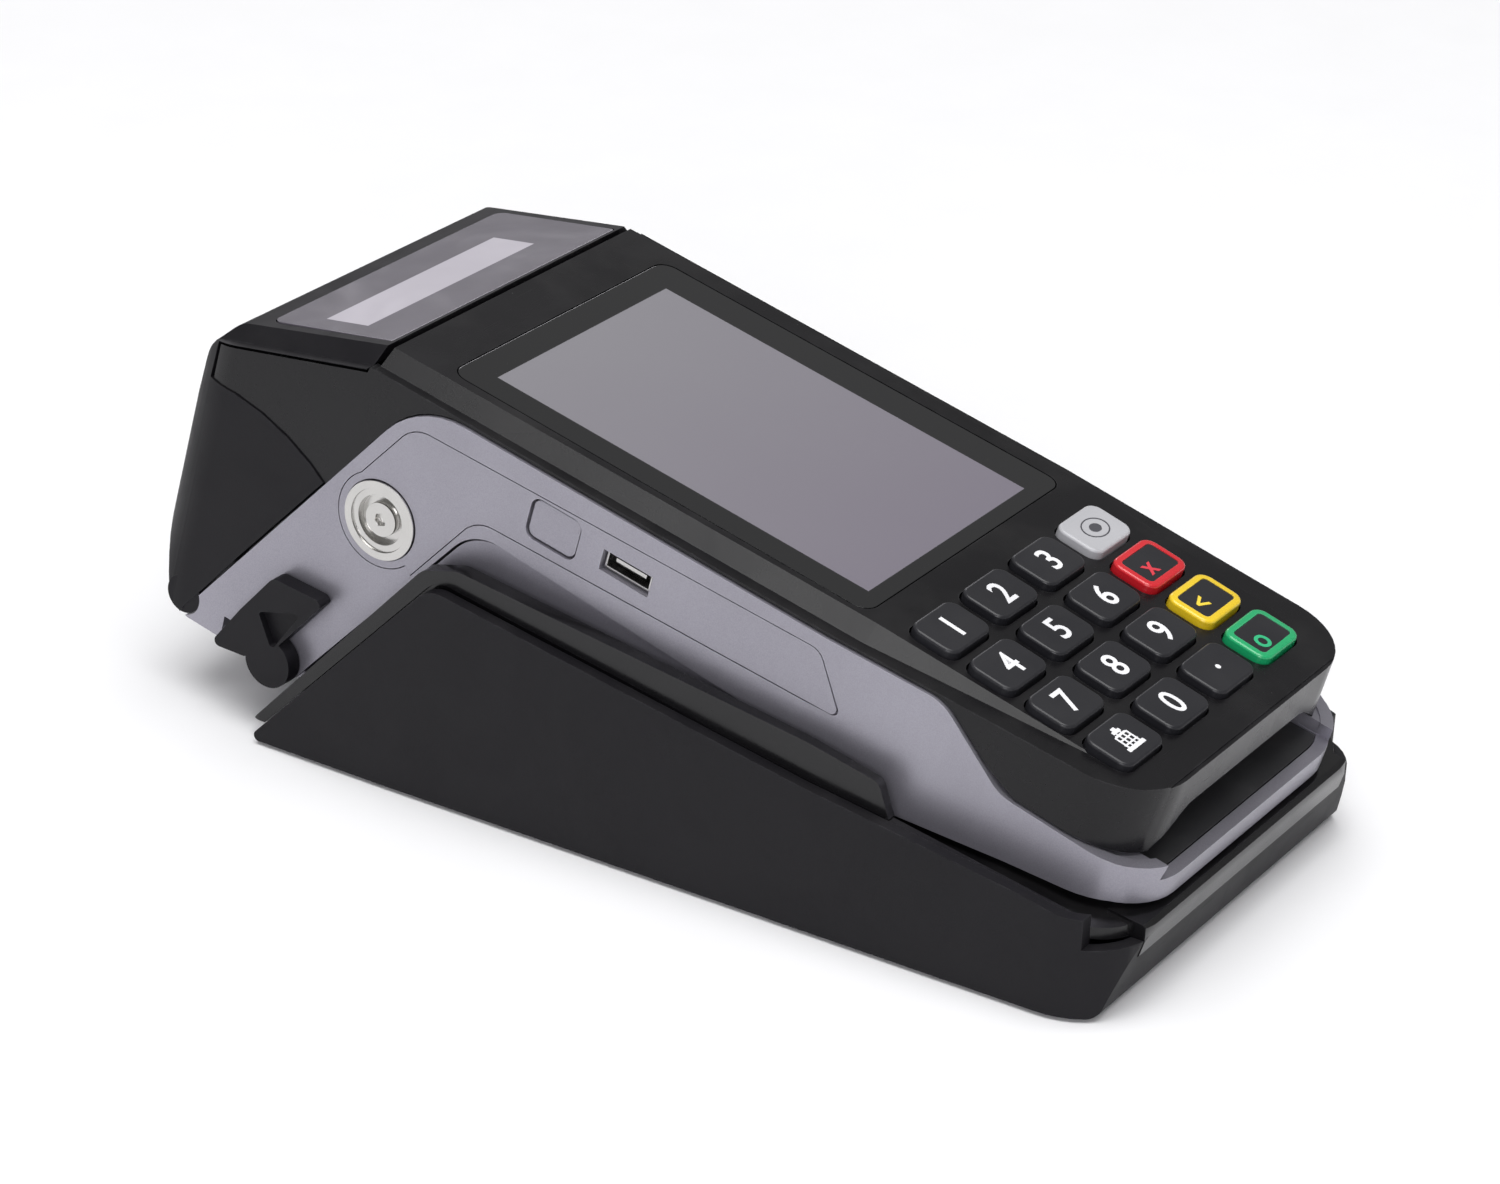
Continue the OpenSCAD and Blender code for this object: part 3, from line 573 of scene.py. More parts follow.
class Finish:
    """What a piece is made of. Each finish builds one material, once."""

    name: str
    made: dict[str, bpy.types.Material] = {}

    def material(self) -> bpy.types.Material:
        """Builds the material on first use.

        Returns:
            The material.
        """
        if self.name not in Finish.made:
            made = bpy.data.materials.new(self.name)
            made.use_nodes = True
            shader = next(n for n in made.node_tree.nodes if n.type == "BSDF_PRINCIPLED")
            self.wire(Wiring(made.node_tree), shader)
            Finish.made[self.name] = made
        return Finish.made[self.name]

    def wire(self, w: Wiring, shader: bpy.types.Node) -> None:
        """Fills the material. Each finish has its own way.

        Args:
            w: Wiring of the material.
            shader: Its Principled BSDF.
        """
        raise NotImplementedError

    @staticmethod
    def coordinates(w: Wiring) -> bpy.types.Node:
        """Adds the Texture Coordinate node.

        Args:
            w: Wiring of the material.

        Returns:
            The node.
        """
        return w.add("ShaderNodeTexCoord")

    @staticmethod
    def bump(w: Wiring, shader: bpy.types.Node, height: bpy.types.NodeSocket, depth: float) -> None:
        """Feeds a height to the shader's normal.

        Args:
            w: Wiring of the material.
            shader: Its Principled BSDF.
            height: The height.
            depth: How deep a height of 1 is, in metres.
        """
        made = w.add("ShaderNodeBump", {"Height": height, "Distance": depth, "Strength": 1.0})
        w.link(made.outputs["Normal"], shader.inputs["Normal"])


@dataclass(frozen=True)
class MouldedPlastic(Finish):
    """Moulded or lacquered plastic, from matte grained to piano black."""

    name: str
    colour: Colour
    roughness: float
    grain_scale: float = 4200.0
    grain_depth: float = 0.000012
    blotch: float = 0.05
    wear_and_highlight: float = 0.4
    wear_and_highlight_colour: Colour = (0.11, 0.11, 0.12)
    dust: float = 0.25
    dust_colour: Colour = (0.32, 0.31, 0.3)
    smear: float = 0.06
    coat: float = 0.0
    coat_roughness: float = 0.15
    specular: float = 0.5

    def wire(self, w: Wiring, shader: bpy.types.Node) -> None:
        """Fills the material.

        Args:
            w: Wiring of the material.
            shader: Its Principled BSDF.
        """
        where = self.coordinates(w)
        place = where.outputs["Object"]
        grain = w.add("ShaderNodeGroup", {"Vector": place, "Scale": self.grain_scale},
                      node_tree=mould_grain())
        edge = w.add("ShaderNodeGroup", {"Vector": place, "Amount": self.wear_and_highlight}, node_tree=edge_wear_and_highlight())
        dust = w.add("ShaderNodeGroup", {"Vector": place, "Normal": where.outputs["Normal"], "Amount": self.dust},
                     node_tree=settled_dust())
        hands = w.add("ShaderNodeGroup", {"Vector": place}, node_tree=handling_smears())
        lighter = tuple(c * (1 + 3 * self.blotch) + 0.001 for c in self.colour)
        base = w.mix(grain.outputs["Blotch"], self.colour, lighter)
        # Lighter colour along the edges: partly real rubbing, partly a painted highlight on the rims.
        rubbed_and_highlit = w.mix(edge.outputs["Mask"], base, self.wear_and_highlight_colour)
        dusty = w.mix(dust.outputs["Mask"], rubbed_and_highlit, self.dust_colour)
        w.link(dusty, shader.inputs["Base Color"])
        change = w.math("MULTIPLY", w.math("SUBTRACT", grain.outputs["Blotch"], 0.5), self.blotch)
        touched = w.math("MULTIPLY", w.math("ADD", hands.outputs["Smear"], hands.outputs["Scuff"]), self.smear)
        rough = w.math("ADD", w.math("ADD", change, touched), self.roughness)
        rough = w.math("ADD", rough, w.math("MULTIPLY", dust.outputs["Mask"], 0.35))
        rough = w.math("SUBTRACT", rough, w.math("MULTIPLY", edge.outputs["Mask"], 0.12), clamp=True)
        w.link(rough, shader.inputs["Roughness"])
        shader.inputs["Specular IOR Level"].default_value = self.specular
        shader.inputs["Coat Weight"].default_value = self.coat
        shader.inputs["Coat Roughness"].default_value = self.coat_roughness
        self.bump(w, shader, grain.outputs["Height"], self.grain_depth)


@dataclass(frozen=True)
class FlakePaint(Finish):
    """Metallic lacquer with fine flakes under a thin clear coat."""

    name: str
    colour: Colour
    shade: Colour
    roughness: float = 0.34
    metallic: float = 0.62
    flake_scale: float = 7800.0
    wear_and_highlight: float = 0.35

    def wire(self, w: Wiring, shader: bpy.types.Node) -> None:
        """Fills the material.

        Args:
            w: Wiring of the material.
            shader: Its Principled BSDF.
        """
        where = self.coordinates(w)
        place = where.outputs["Object"]
        flakes = w.add("ShaderNodeTexVoronoi", {"Vector": place, "Scale": self.flake_scale})
        glint = w.add("ShaderNodeSeparateColor", {"Color": flakes.outputs["Color"]})
        cloud = w.add("ShaderNodeTexNoise", {"Vector": place, "Scale": 30.0, "Detail": 4.0})
        tint = w.math("ADD", w.math("MULTIPLY", glint.outputs["Red"], 0.55),
                      w.math("MULTIPLY", w.remap(cloud.outputs["Fac"], 0.3, 0.7), 0.35))
        paint = w.mix(tint, self.shade, self.colour)
        edge = w.add("ShaderNodeGroup", {"Vector": place, "Amount": self.wear_and_highlight}, node_tree=edge_wear_and_highlight())
        # Painted highlight along the edges, partly real rubbing: the lacquer is lighter where the edge mask
        # falls.
        bright = tuple(min(1.0, c * 1.35) for c in self.colour)
        rubbed_and_highlit = w.mix(edge.outputs["Mask"], paint, bright)
        dust = w.add("ShaderNodeGroup", {"Vector": place, "Normal": where.outputs["Normal"], "Amount": 0.15},
                     node_tree=settled_dust())
        w.link(w.mix(dust.outputs["Mask"], rubbed_and_highlit, (0.5, 0.49, 0.47)), shader.inputs["Base Color"])
        hands = w.add("ShaderNodeGroup", {"Vector": place}, node_tree=handling_smears())
        marks = w.math("ADD", w.math("MULTIPLY", hands.outputs["Smear"], 0.05),
                       w.math("MULTIPLY", glint.outputs["Green"], 0.08))
        w.link(w.math("ADD", marks, self.roughness), shader.inputs["Roughness"])
        shader.inputs["Metallic"].default_value = self.metallic
        shader.inputs["Coat Weight"].default_value = 0.2
        shader.inputs["Coat Roughness"].default_value = 0.22
        self.bump(w, shader, glint.outputs["Blue"], 0.0000035)


@dataclass(frozen=True)
class PlainMetal(Finish):
    """Bare metal with lathe or brush marks round an axis or along a line."""

    name: str
    colour: Colour
    roughness: float = 0.24
    centre: tuple[float, float, float] = (0.0, 0.0, 0.0)
    turn: tuple[float, float, float] = (0.0, 0.0, 0.0)
    ring_scale: float = 9000.0
    mark_depth: float = 0.000006

    def wire(self, w: Wiring, shader: bpy.types.Node) -> None:
        """Fills the material.

        Args:
            w: Wiring of the material.
            shader: Its Principled BSDF.
        """
        where = self.coordinates(w)
        place = where.outputs["Object"]
        centred = w.add("ShaderNodeMapping", {"Vector": place, "Location": self.centre, "Rotation": self.turn},
                        vector_type="TEXTURE")
        rings = w.add("ShaderNodeGroup", {"Vector": centred.outputs["Vector"], "Scale": self.ring_scale},
                      node_tree=turned_rings())
        stain = w.add("ShaderNodeTexNoise", {"Vector": place, "Scale": 300.0, "Detail": 5.0, "Roughness": 0.6})
        darker = tuple(c * 0.72 for c in self.colour)
        tone = w.math("ADD", w.math("MULTIPLY", rings.outputs["Rings"], 0.6),
                      w.math("MULTIPLY", stain.outputs["Fac"], 0.5), clamp=True)
        w.link(w.mix(tone, darker, self.colour), shader.inputs["Base Color"])
        rough = w.math("ADD", w.math("MULTIPLY", w.math("SUBTRACT", rings.outputs["Rings"], 0.5), 0.18),
                       w.math("ADD", w.math("MULTIPLY", stain.outputs["Fac"], 0.08), self.roughness - 0.04))
        w.link(rough, shader.inputs["Roughness"])
        shader.inputs["Metallic"].default_value = 1.0
        self.bump(w, shader, rings.outputs["Rings"], self.mark_depth)


@dataclass(frozen=True)
class DisplayGlass(Finish):
    """Polished display window: a black border printed round the unlit screen. The screen's grey-lilac is partly
    its own tone, with a painted reflection that grows lighter towards the far end.
    """

    name: str
    border: Colour
    near_screen_tone: Colour
    far_screen_sheen_tone: Colour
    centre: tuple[float, float] = (-0.002, 0.03675)
    half: tuple[float, float] = (0.0245, 0.03675)
    softness: float = 0.00012

    def wire(self, w: Wiring, shader: bpy.types.Node) -> None:
        """Fills the material.

        Args:
            w: Wiring of the material.
            shader: Its Principled BSDF.
        """
        where = self.coordinates(w)
        local = w.add("ShaderNodeMapping", {"Vector": where.outputs["Object"], "Location": tuple(SEAT),
                                            "Rotation": (DOCK_TILT, 0.0, 0.0)}, vector_type="TEXTURE")
        parts = w.add("ShaderNodeSeparateXYZ", {"Vector": local.outputs["Vector"]})
        across = w.math("ABSOLUTE", w.math("SUBTRACT", parts.outputs["X"], self.centre[0]))
        along = w.math("ABSOLUTE", w.math("SUBTRACT", parts.outputs["Y"], self.centre[1]))
        in_x = w.remap(across, self.half[0] + self.softness, self.half[0])
        in_y = w.remap(along, self.half[1] + self.softness, self.half[1])
        inside = w.math("MULTIPLY", in_x, in_y)
        # Painted reflection: the screen is painted lighter from the end by the keys to the end by the printer,
        # standing in for the room mirrored in the glass.
        painted_sheen_rise = w.remap(parts.outputs["Y"], 0.0, 2 * self.half[1])
        haze = w.add("ShaderNodeTexNoise", {"Vector": local.outputs["Vector"], "Scale": 26.0, "Detail": 3.0})
        tone = w.mix(w.math("ADD", painted_sheen_rise, w.math("MULTIPLY", w.math("SUBTRACT", haze.outputs["Fac"], 0.5), 0.25),
                            clamp=True), self.near_screen_tone, self.far_screen_sheen_tone)
        cells = w.add("ShaderNodeTexWave", {"Vector": local.outputs["Vector"], "Scale": 1900.0},
                      bands_direction="X")
        cell_rows = w.mix(w.math("MULTIPLY", cells.outputs["Fac"], 0.05), tone, (0.0, 0.0, 0.0))
        w.link(w.mix(inside, self.border, cell_rows), shader.inputs["Base Color"])
        hands = w.add("ShaderNodeGroup", {"Vector": where.outputs["Object"]}, node_tree=handling_smears())
        rough = w.math("ADD", w.math("MULTIPLY", hands.outputs["Smear"], 0.05),
                       w.math("MULTIPLY", hands.outputs["Scuff"], 0.03))
        w.link(w.math("ADD", rough, w.math("MULTIPLY", inside, 0.12)), shader.inputs["Roughness"])
        shader.inputs["Specular IOR Level"].default_value = 0.5
        shader.inputs["Coat Weight"].default_value = 0.6
        shader.inputs["Coat Roughness"].default_value = 0.03


@dataclass(frozen=True)
class SmokeWindow(Finish):
    """Tinted see-through plastic of the paper window, with its clear reading strip."""

    name: str
    tint: Colour
    strip: Colour
    strip_x: tuple[float, float] = (-0.0275, 0.0195)
    strip_y: tuple[float, float] = (0.0096, 0.018)

    def wire(self, w: Wiring, shader: bpy.types.Node) -> None:
        """Fills the material.

        Args:
            w: Wiring of the material.
            shader: Its Principled BSDF.
        """
        where = self.coordinates(w)
        origin = LID_PLANE.to_translation()
        turn = LID_PLANE.to_euler("XYZ")
        local = w.add("ShaderNodeMapping", {"Vector": where.outputs["Object"], "Location": tuple(origin),
                                            "Rotation": tuple(turn)}, vector_type="TEXTURE")
        parts = w.add("ShaderNodeSeparateXYZ", {"Vector": local.outputs["Vector"]})
        soft = 0.00015
        right = w.remap(parts.outputs["X"], self.strip_x[0] - soft, self.strip_x[0])
        left = w.remap(parts.outputs["X"], self.strip_x[1] + soft, self.strip_x[1])
        above = w.remap(parts.outputs["Y"], self.strip_y[0] - soft, self.strip_y[0])
        below = w.remap(parts.outputs["Y"], self.strip_y[1] + soft, self.strip_y[1])
        inside = w.math("MULTIPLY", w.math("MULTIPLY", right, left), w.math("MULTIPLY", above, below))
        cloud = w.add("ShaderNodeTexNoise", {"Vector": local.outputs["Vector"], "Scale": 90.0, "Detail": 4.0})
        shade = w.math("MULTIPLY", w.remap(cloud.outputs["Fac"], 0.3, 0.7), 0.25)
        tinted = w.mix(shade, self.tint, tuple(c * 1.5 for c in self.tint))
        clear = w.mix(shade, self.strip, tuple(c * 0.8 for c in self.strip))
        w.link(w.mix(inside, tinted, clear), shader.inputs["Base Color"])
        hands = w.add("ShaderNodeGroup", {"Vector": where.outputs["Object"]}, node_tree=handling_smears())
        w.link(w.math("ADD", w.math("MULTIPLY", hands.outputs["Smear"], 0.06), 0.1),
               shader.inputs["Roughness"])
        shader.inputs["Coat Weight"].default_value = 0.3
        shader.inputs["Coat Roughness"].default_value = 0.05


@dataclass(frozen=True)
class CircuitBoard(Finish):
    """Green solder mask with copper runs showing through it."""

    name: str
    mask: Colour
    copper: Colour

    def wire(self, w: Wiring, shader: bpy.types.Node) -> None:
        """Fills the material.

        Args:
            w: Wiring of the material.
            shader: Its Principled BSDF.
        """
        where = self.coordinates(w)
        runs = w.add("ShaderNodeTexBrick", {"Vector": where.outputs["Object"], "Scale": 260.0,
                                            "Mortar Size": 0.012, "Color1": (0, 0, 0, 1),
                                            "Color2": (0.25, 0.25, 0.25, 1), "Mortar": (1, 1, 1, 1)})
        tone = w.math("MULTIPLY", runs.outputs["Fac"], 0.8)
        w.link(w.mix(tone, self.mask, self.copper), shader.inputs["Base Color"])
        w.link(w.math("ADD", w.math("MULTIPLY", tone, 0.15), 0.3), shader.inputs["Roughness"])
        self.bump(w, shader, runs.outputs["Fac"], 0.00002)


@dataclass(frozen=True)
class PaperRollFinish(Finish):
    """Thermal paper: fibrous, with the wound edges showing as rings on the ends."""

    name: str
    colour: Colour
    shade: Colour
    centre: tuple[float, float, float]

    def wire(self, w: Wiring, shader: bpy.types.Node) -> None:
        """Fills the material.

        Args:
            w: Wiring of the material.
            shader: Its Principled BSDF.
        """
        where = self.coordinates(w)
        centred = w.add("ShaderNodeMapping", {"Vector": where.outputs["Object"], "Location": self.centre,
                                              "Rotation": (0.0, math.pi / 2, 0.0)}, vector_type="TEXTURE")
        rings = w.add("ShaderNodeGroup", {"Vector": centred.outputs["Vector"], "Scale": 6000.0},
                      node_tree=turned_rings())
        fibre = w.add("ShaderNodeTexNoise", {"Vector": where.outputs["Object"], "Scale": 2200.0, "Detail": 4.0})
        tone = w.math("ADD", w.math("MULTIPLY", rings.outputs["Rings"], 0.5),
                      w.math("MULTIPLY", fibre.outputs["Fac"], 0.3), clamp=True)
        w.link(w.mix(tone, self.shade, self.colour), shader.inputs["Base Color"])
        w.link(w.math("ADD", w.math("MULTIPLY", fibre.outputs["Fac"], 0.2), 0.65),
               shader.inputs["Roughness"])
        self.bump(w, shader, fibre.outputs["Fac"], 0.00001)


def dress(piece: bpy.types.Object, finish: Finish) -> None:
    """Gives a piece one finish all over.

    Args:
        piece: The piece or CAD node.
        finish: Its finish.
    """
    slots = piece.data.materials
    if len(slots) == 0:
        slots.append(finish.material())
    for index in range(len(slots)):
        slots[index] = finish.material()


# The lighter edge colours below stand for rubbed edges and, in part, a painted highlight along the edges.
MATTE_BLACK = MouldedPlastic("matte_black_plastic", (0.0055, 0.0050, 0.0068), 0.5, grain_depth=0.000016,
                             wear_and_highlight_colour=(0.05, 0.05, 0.055), dust=0.1, specular=0.22)
SATIN_BLACK = MouldedPlastic("satin_black_lacquer", (0.0055, 0.0052, 0.0062), 0.26, grain_scale=2600.0,
                             grain_depth=0.000004, wear_and_highlight_colour=(0.06, 0.06, 0.065), smear=0.05, dust=0.1,
                             specular=0.28)
GLOSS_BLACK = MouldedPlastic("gloss_black_plastic", (0.005, 0.0048, 0.0055), 0.18, grain_scale=1800.0,
                             grain_depth=0.000002, wear_and_highlight=0.25, wear_and_highlight_colour=(0.06, 0.06, 0.065), smear=0.07,
                             dust=0.12, specular=0.4)
DARK_PLASTIC = MouldedPlastic("dark_inner_plastic", (0.018, 0.018, 0.02), 0.55)
SILVER_PAINT = FlakePaint("silver_lacquer", (0.36, 0.35, 0.4), (0.27, 0.26, 0.3))
# Painted shade: a darker copy of the silver lacquer for the bottom cover, which sits in the shadow of the base's
# rim.
SHADED_SILVER = FlakePaint("silver_lacquer_painted_shade", (0.33, 0.32, 0.37), (0.25, 0.24, 0.28))
# The two screen tones carry a painted reflection gradient: darker by the keys, lighter towards the printer.
DISPLAY_GLASS = DisplayGlass("display_glass", (0.004, 0.004, 0.0048), (0.19, 0.172, 0.21), (0.235, 0.228, 0.25))
SCREEN_BODY = MouldedPlastic("screen_module_body", (0.12, 0.12, 0.13), 0.4)
KEY_BLACK = MouldedPlastic("key_black_satin", (0.015, 0.015, 0.018), 0.3, grain_scale=3200.0,
                           grain_depth=0.000004, wear_and_highlight_colour=(0.1, 0.1, 0.11), wear_and_highlight=0.4, smear=0.08, dust=0.08,
                           specular=0.4)
KEY_GREY = MouldedPlastic("key_grey_satin", (0.42, 0.42, 0.44), 0.3, grain_depth=0.000004,
                          wear_and_highlight_colour=(0.6, 0.6, 0.6), dust=0.1)
KEY_RED = MouldedPlastic("key_red_gloss", (0.55, 0.012, 0.02), 0.24, grain_depth=0.000003,
                         wear_and_highlight_colour=(0.75, 0.2, 0.2), dust=0.1, coat=0.4)
KEY_YELLOW = MouldedPlastic("key_yellow_gloss", (0.75, 0.52, 0.015), 0.24, grain_depth=0.000003,
                            wear_and_highlight_colour=(0.85, 0.7, 0.3), dust=0.1, coat=0.4)
KEY_GREEN = MouldedPlastic("key_green_gloss", (0.01, 0.36, 0.13), 0.24, grain_depth=0.000003,
                           wear_and_highlight_colour=(0.2, 0.55, 0.35), dust=0.1, coat=0.4)
LEGEND_WHITE = MouldedPlastic("legend_white_ink", (0.78, 0.78, 0.8), 0.42, wear_and_highlight=0.0, dust=0.0)
LEGEND_DARK = MouldedPlastic("legend_dark_ink", (0.06, 0.06, 0.07), 0.4, wear_and_highlight=0.0, dust=0.0)
INK_RED = MouldedPlastic("ink_red", (0.62, 0.04, 0.06), 0.35, wear_and_highlight=0.0, dust=0.0)
INK_YELLOW = MouldedPlastic("ink_yellow", (0.82, 0.6, 0.05), 0.35, wear_and_highlight=0.0, dust=0.0)
INK_GREEN = MouldedPlastic("ink_green", (0.03, 0.45, 0.2), 0.35, wear_and_highlight=0.0, dust=0.0)
SMOKE_WINDOW = SmokeWindow("smoke_paper_window", (0.12, 0.11, 0.132), (0.52, 0.49, 0.55))
RUBBER = MouldedPlastic("soft_rubber", (0.016, 0.016, 0.017), 0.72, grain_depth=0.00003, dust=0.5, specular=0.3)
MAT_RUBBER = MouldedPlastic("keypad_mat_rubber", (0.12, 0.12, 0.13), 0.7, grain_depth=0.00002, specular=0.3)
BATTERY_WRAP = MouldedPlastic("battery_wrap", (0.04, 0.065, 0.12), 0.4, dust=0.3)
GEAR_PLASTIC = MouldedPlastic("gear_acetal", (0.62, 0.56, 0.4), 0.38, wear_and_highlight_colour=(0.7, 0.65, 0.5))
BOARD = CircuitBoard("circuit_board", (0.012, 0.08, 0.03), (0.2, 0.3, 0.1))
CUP_CENTRE = NEAR_SIDE @ Vector((81.5 * MM, -27.6 * MM, 0))
STEEL = PlainMetal("bright_steel", (0.62, 0.61, 0.6), 0.26)
TURNED_STEEL = PlainMetal("turned_steel", (0.66, 0.65, 0.63), 0.2, centre=tuple(CUP_CENTRE),
                          turn=(0.0, math.pi / 2, 0.0), mark_depth=0.00001)
BRASS = PlainMetal("gold_plated_contact", (0.72, 0.52, 0.2), 0.22)
PAPER = PaperRollFinish("thermal_paper", (0.82, 0.82, 0.8), (0.66, 0.66, 0.65),
                        tuple(DOCKED @ Vector((0, 100.3 * MM, -38.6 * MM))))
CERAMIC = MouldedPlastic("print_head_ceramic", (0.5, 0.47, 0.4), 0.35, wear_and_highlight_colour=(0.6, 0.58, 0.5))

SLOT_FINISH: dict[str, Finish] = {
    "black_plastic": MATTE_BLACK, "gloss_black": GLOSS_BLACK, "silver_paint": SILVER_PAINT,
    "lens": DISPLAY_GLASS, "screen": SCREEN_BODY, "key_black": KEY_BLACK, "key_grey": KEY_GREY,
    "key_red": KEY_RED, "key_yellow": KEY_YELLOW, "key_green": KEY_GREEN, "smoke_window": SMOKE_WINDOW,
    "steel": STEEL, "rubber": RUBBER, "board": BOARD, "brass": BRASS, "paper": PAPER,
    "battery": BATTERY_WRAP, "gear_plastic": GEAR_PLASTIC, "dark_plastic": DARK_PLASTIC,
}


INK_OF: dict[str, Finish] = {"key_cancel": INK_RED, "key_clear": INK_YELLOW, "key_enter": INK_GREEN}


# ---- sub-assemblies --------------------------------------------------------------------------


@dataclass
class CarriedNodes:
    """CAD nodes whose shape is right as it is, and which only get their finish."""

    own_finish: dict[str, Finish] = field(default_factory=lambda: {
        "keypad_mat": MAT_RUBBER, "print_head": CERAMIC})

    def build(self) -> None:
        """Dresses every CAD node, including those that finished copies stand for later."""
        for node, cad in frame["nodes"].items():
            finish = self.own_finish.get(node, SLOT_FINISH[SLOT_OF[node]])
            dress(cad, finish)
            log.info("node %s in %s", node, finish.name)


@dataclass
class Covers:
    """Finished copies of the moulded covers, with rounded edges."""

    rounding: dict[str, tuple[float, Finish]] = field(default_factory=lambda: {
        "base_shell": (0.5 * MM, MATTE_BLACK),
        "base_tray": (0.3 * MM, GLOSS_BLACK),
        "top_cover": (0.25 * MM, SATIN_BLACK),
        "mid_housing": (0.3 * MM, SILVER_PAINT),
        # The bottom cover takes the darker copy of the silver, a painted shade.
        "bottom_cover": (0.3 * MM, SHADED_SILVER),
        "service_panel": (0.08 * MM, SILVER_PAINT),
        "side_button": (0.25 * MM, SILVER_PAINT),
        "paper_lid": (0.4 * MM, MATTE_BLACK),
        "lid_window": (0.1 * MM, SMOKE_WINDOW),
        "display_lens": (0.15 * MM, DISPLAY_GLASS),
        "lid_catch": (0.35 * MM, MATTE_BLACK),
        "usb_port": (0.06 * MM, STEEL),
        "seal_cup": (0.12 * MM, TURNED_STEEL),
        "seal_screw": (0.08 * MM, TURNED_STEEL),
    })

    def build(self) -> None:
        """Makes each finished copy."""
        for node, (radius, finish) in self.rounding.items():
            piece = moulded_copy(node, radius)
            dress(piece, finish)
            log.info("cover %s, %d faces", piece.name, len(piece.data.polygons))


@dataclass(frozen=True)
class KeyLook:
    """How one key is finished and what it says."""

    node: str
    col: int
    row: int
    sign: Sign = Sign.GLYPH
    glyph: str = ""
    finish: Finish = KEY_BLACK
    inlay: str = ""
    shift: tuple[float, float] = (0.0, 0.0)
    height: float = 5.0 * MM


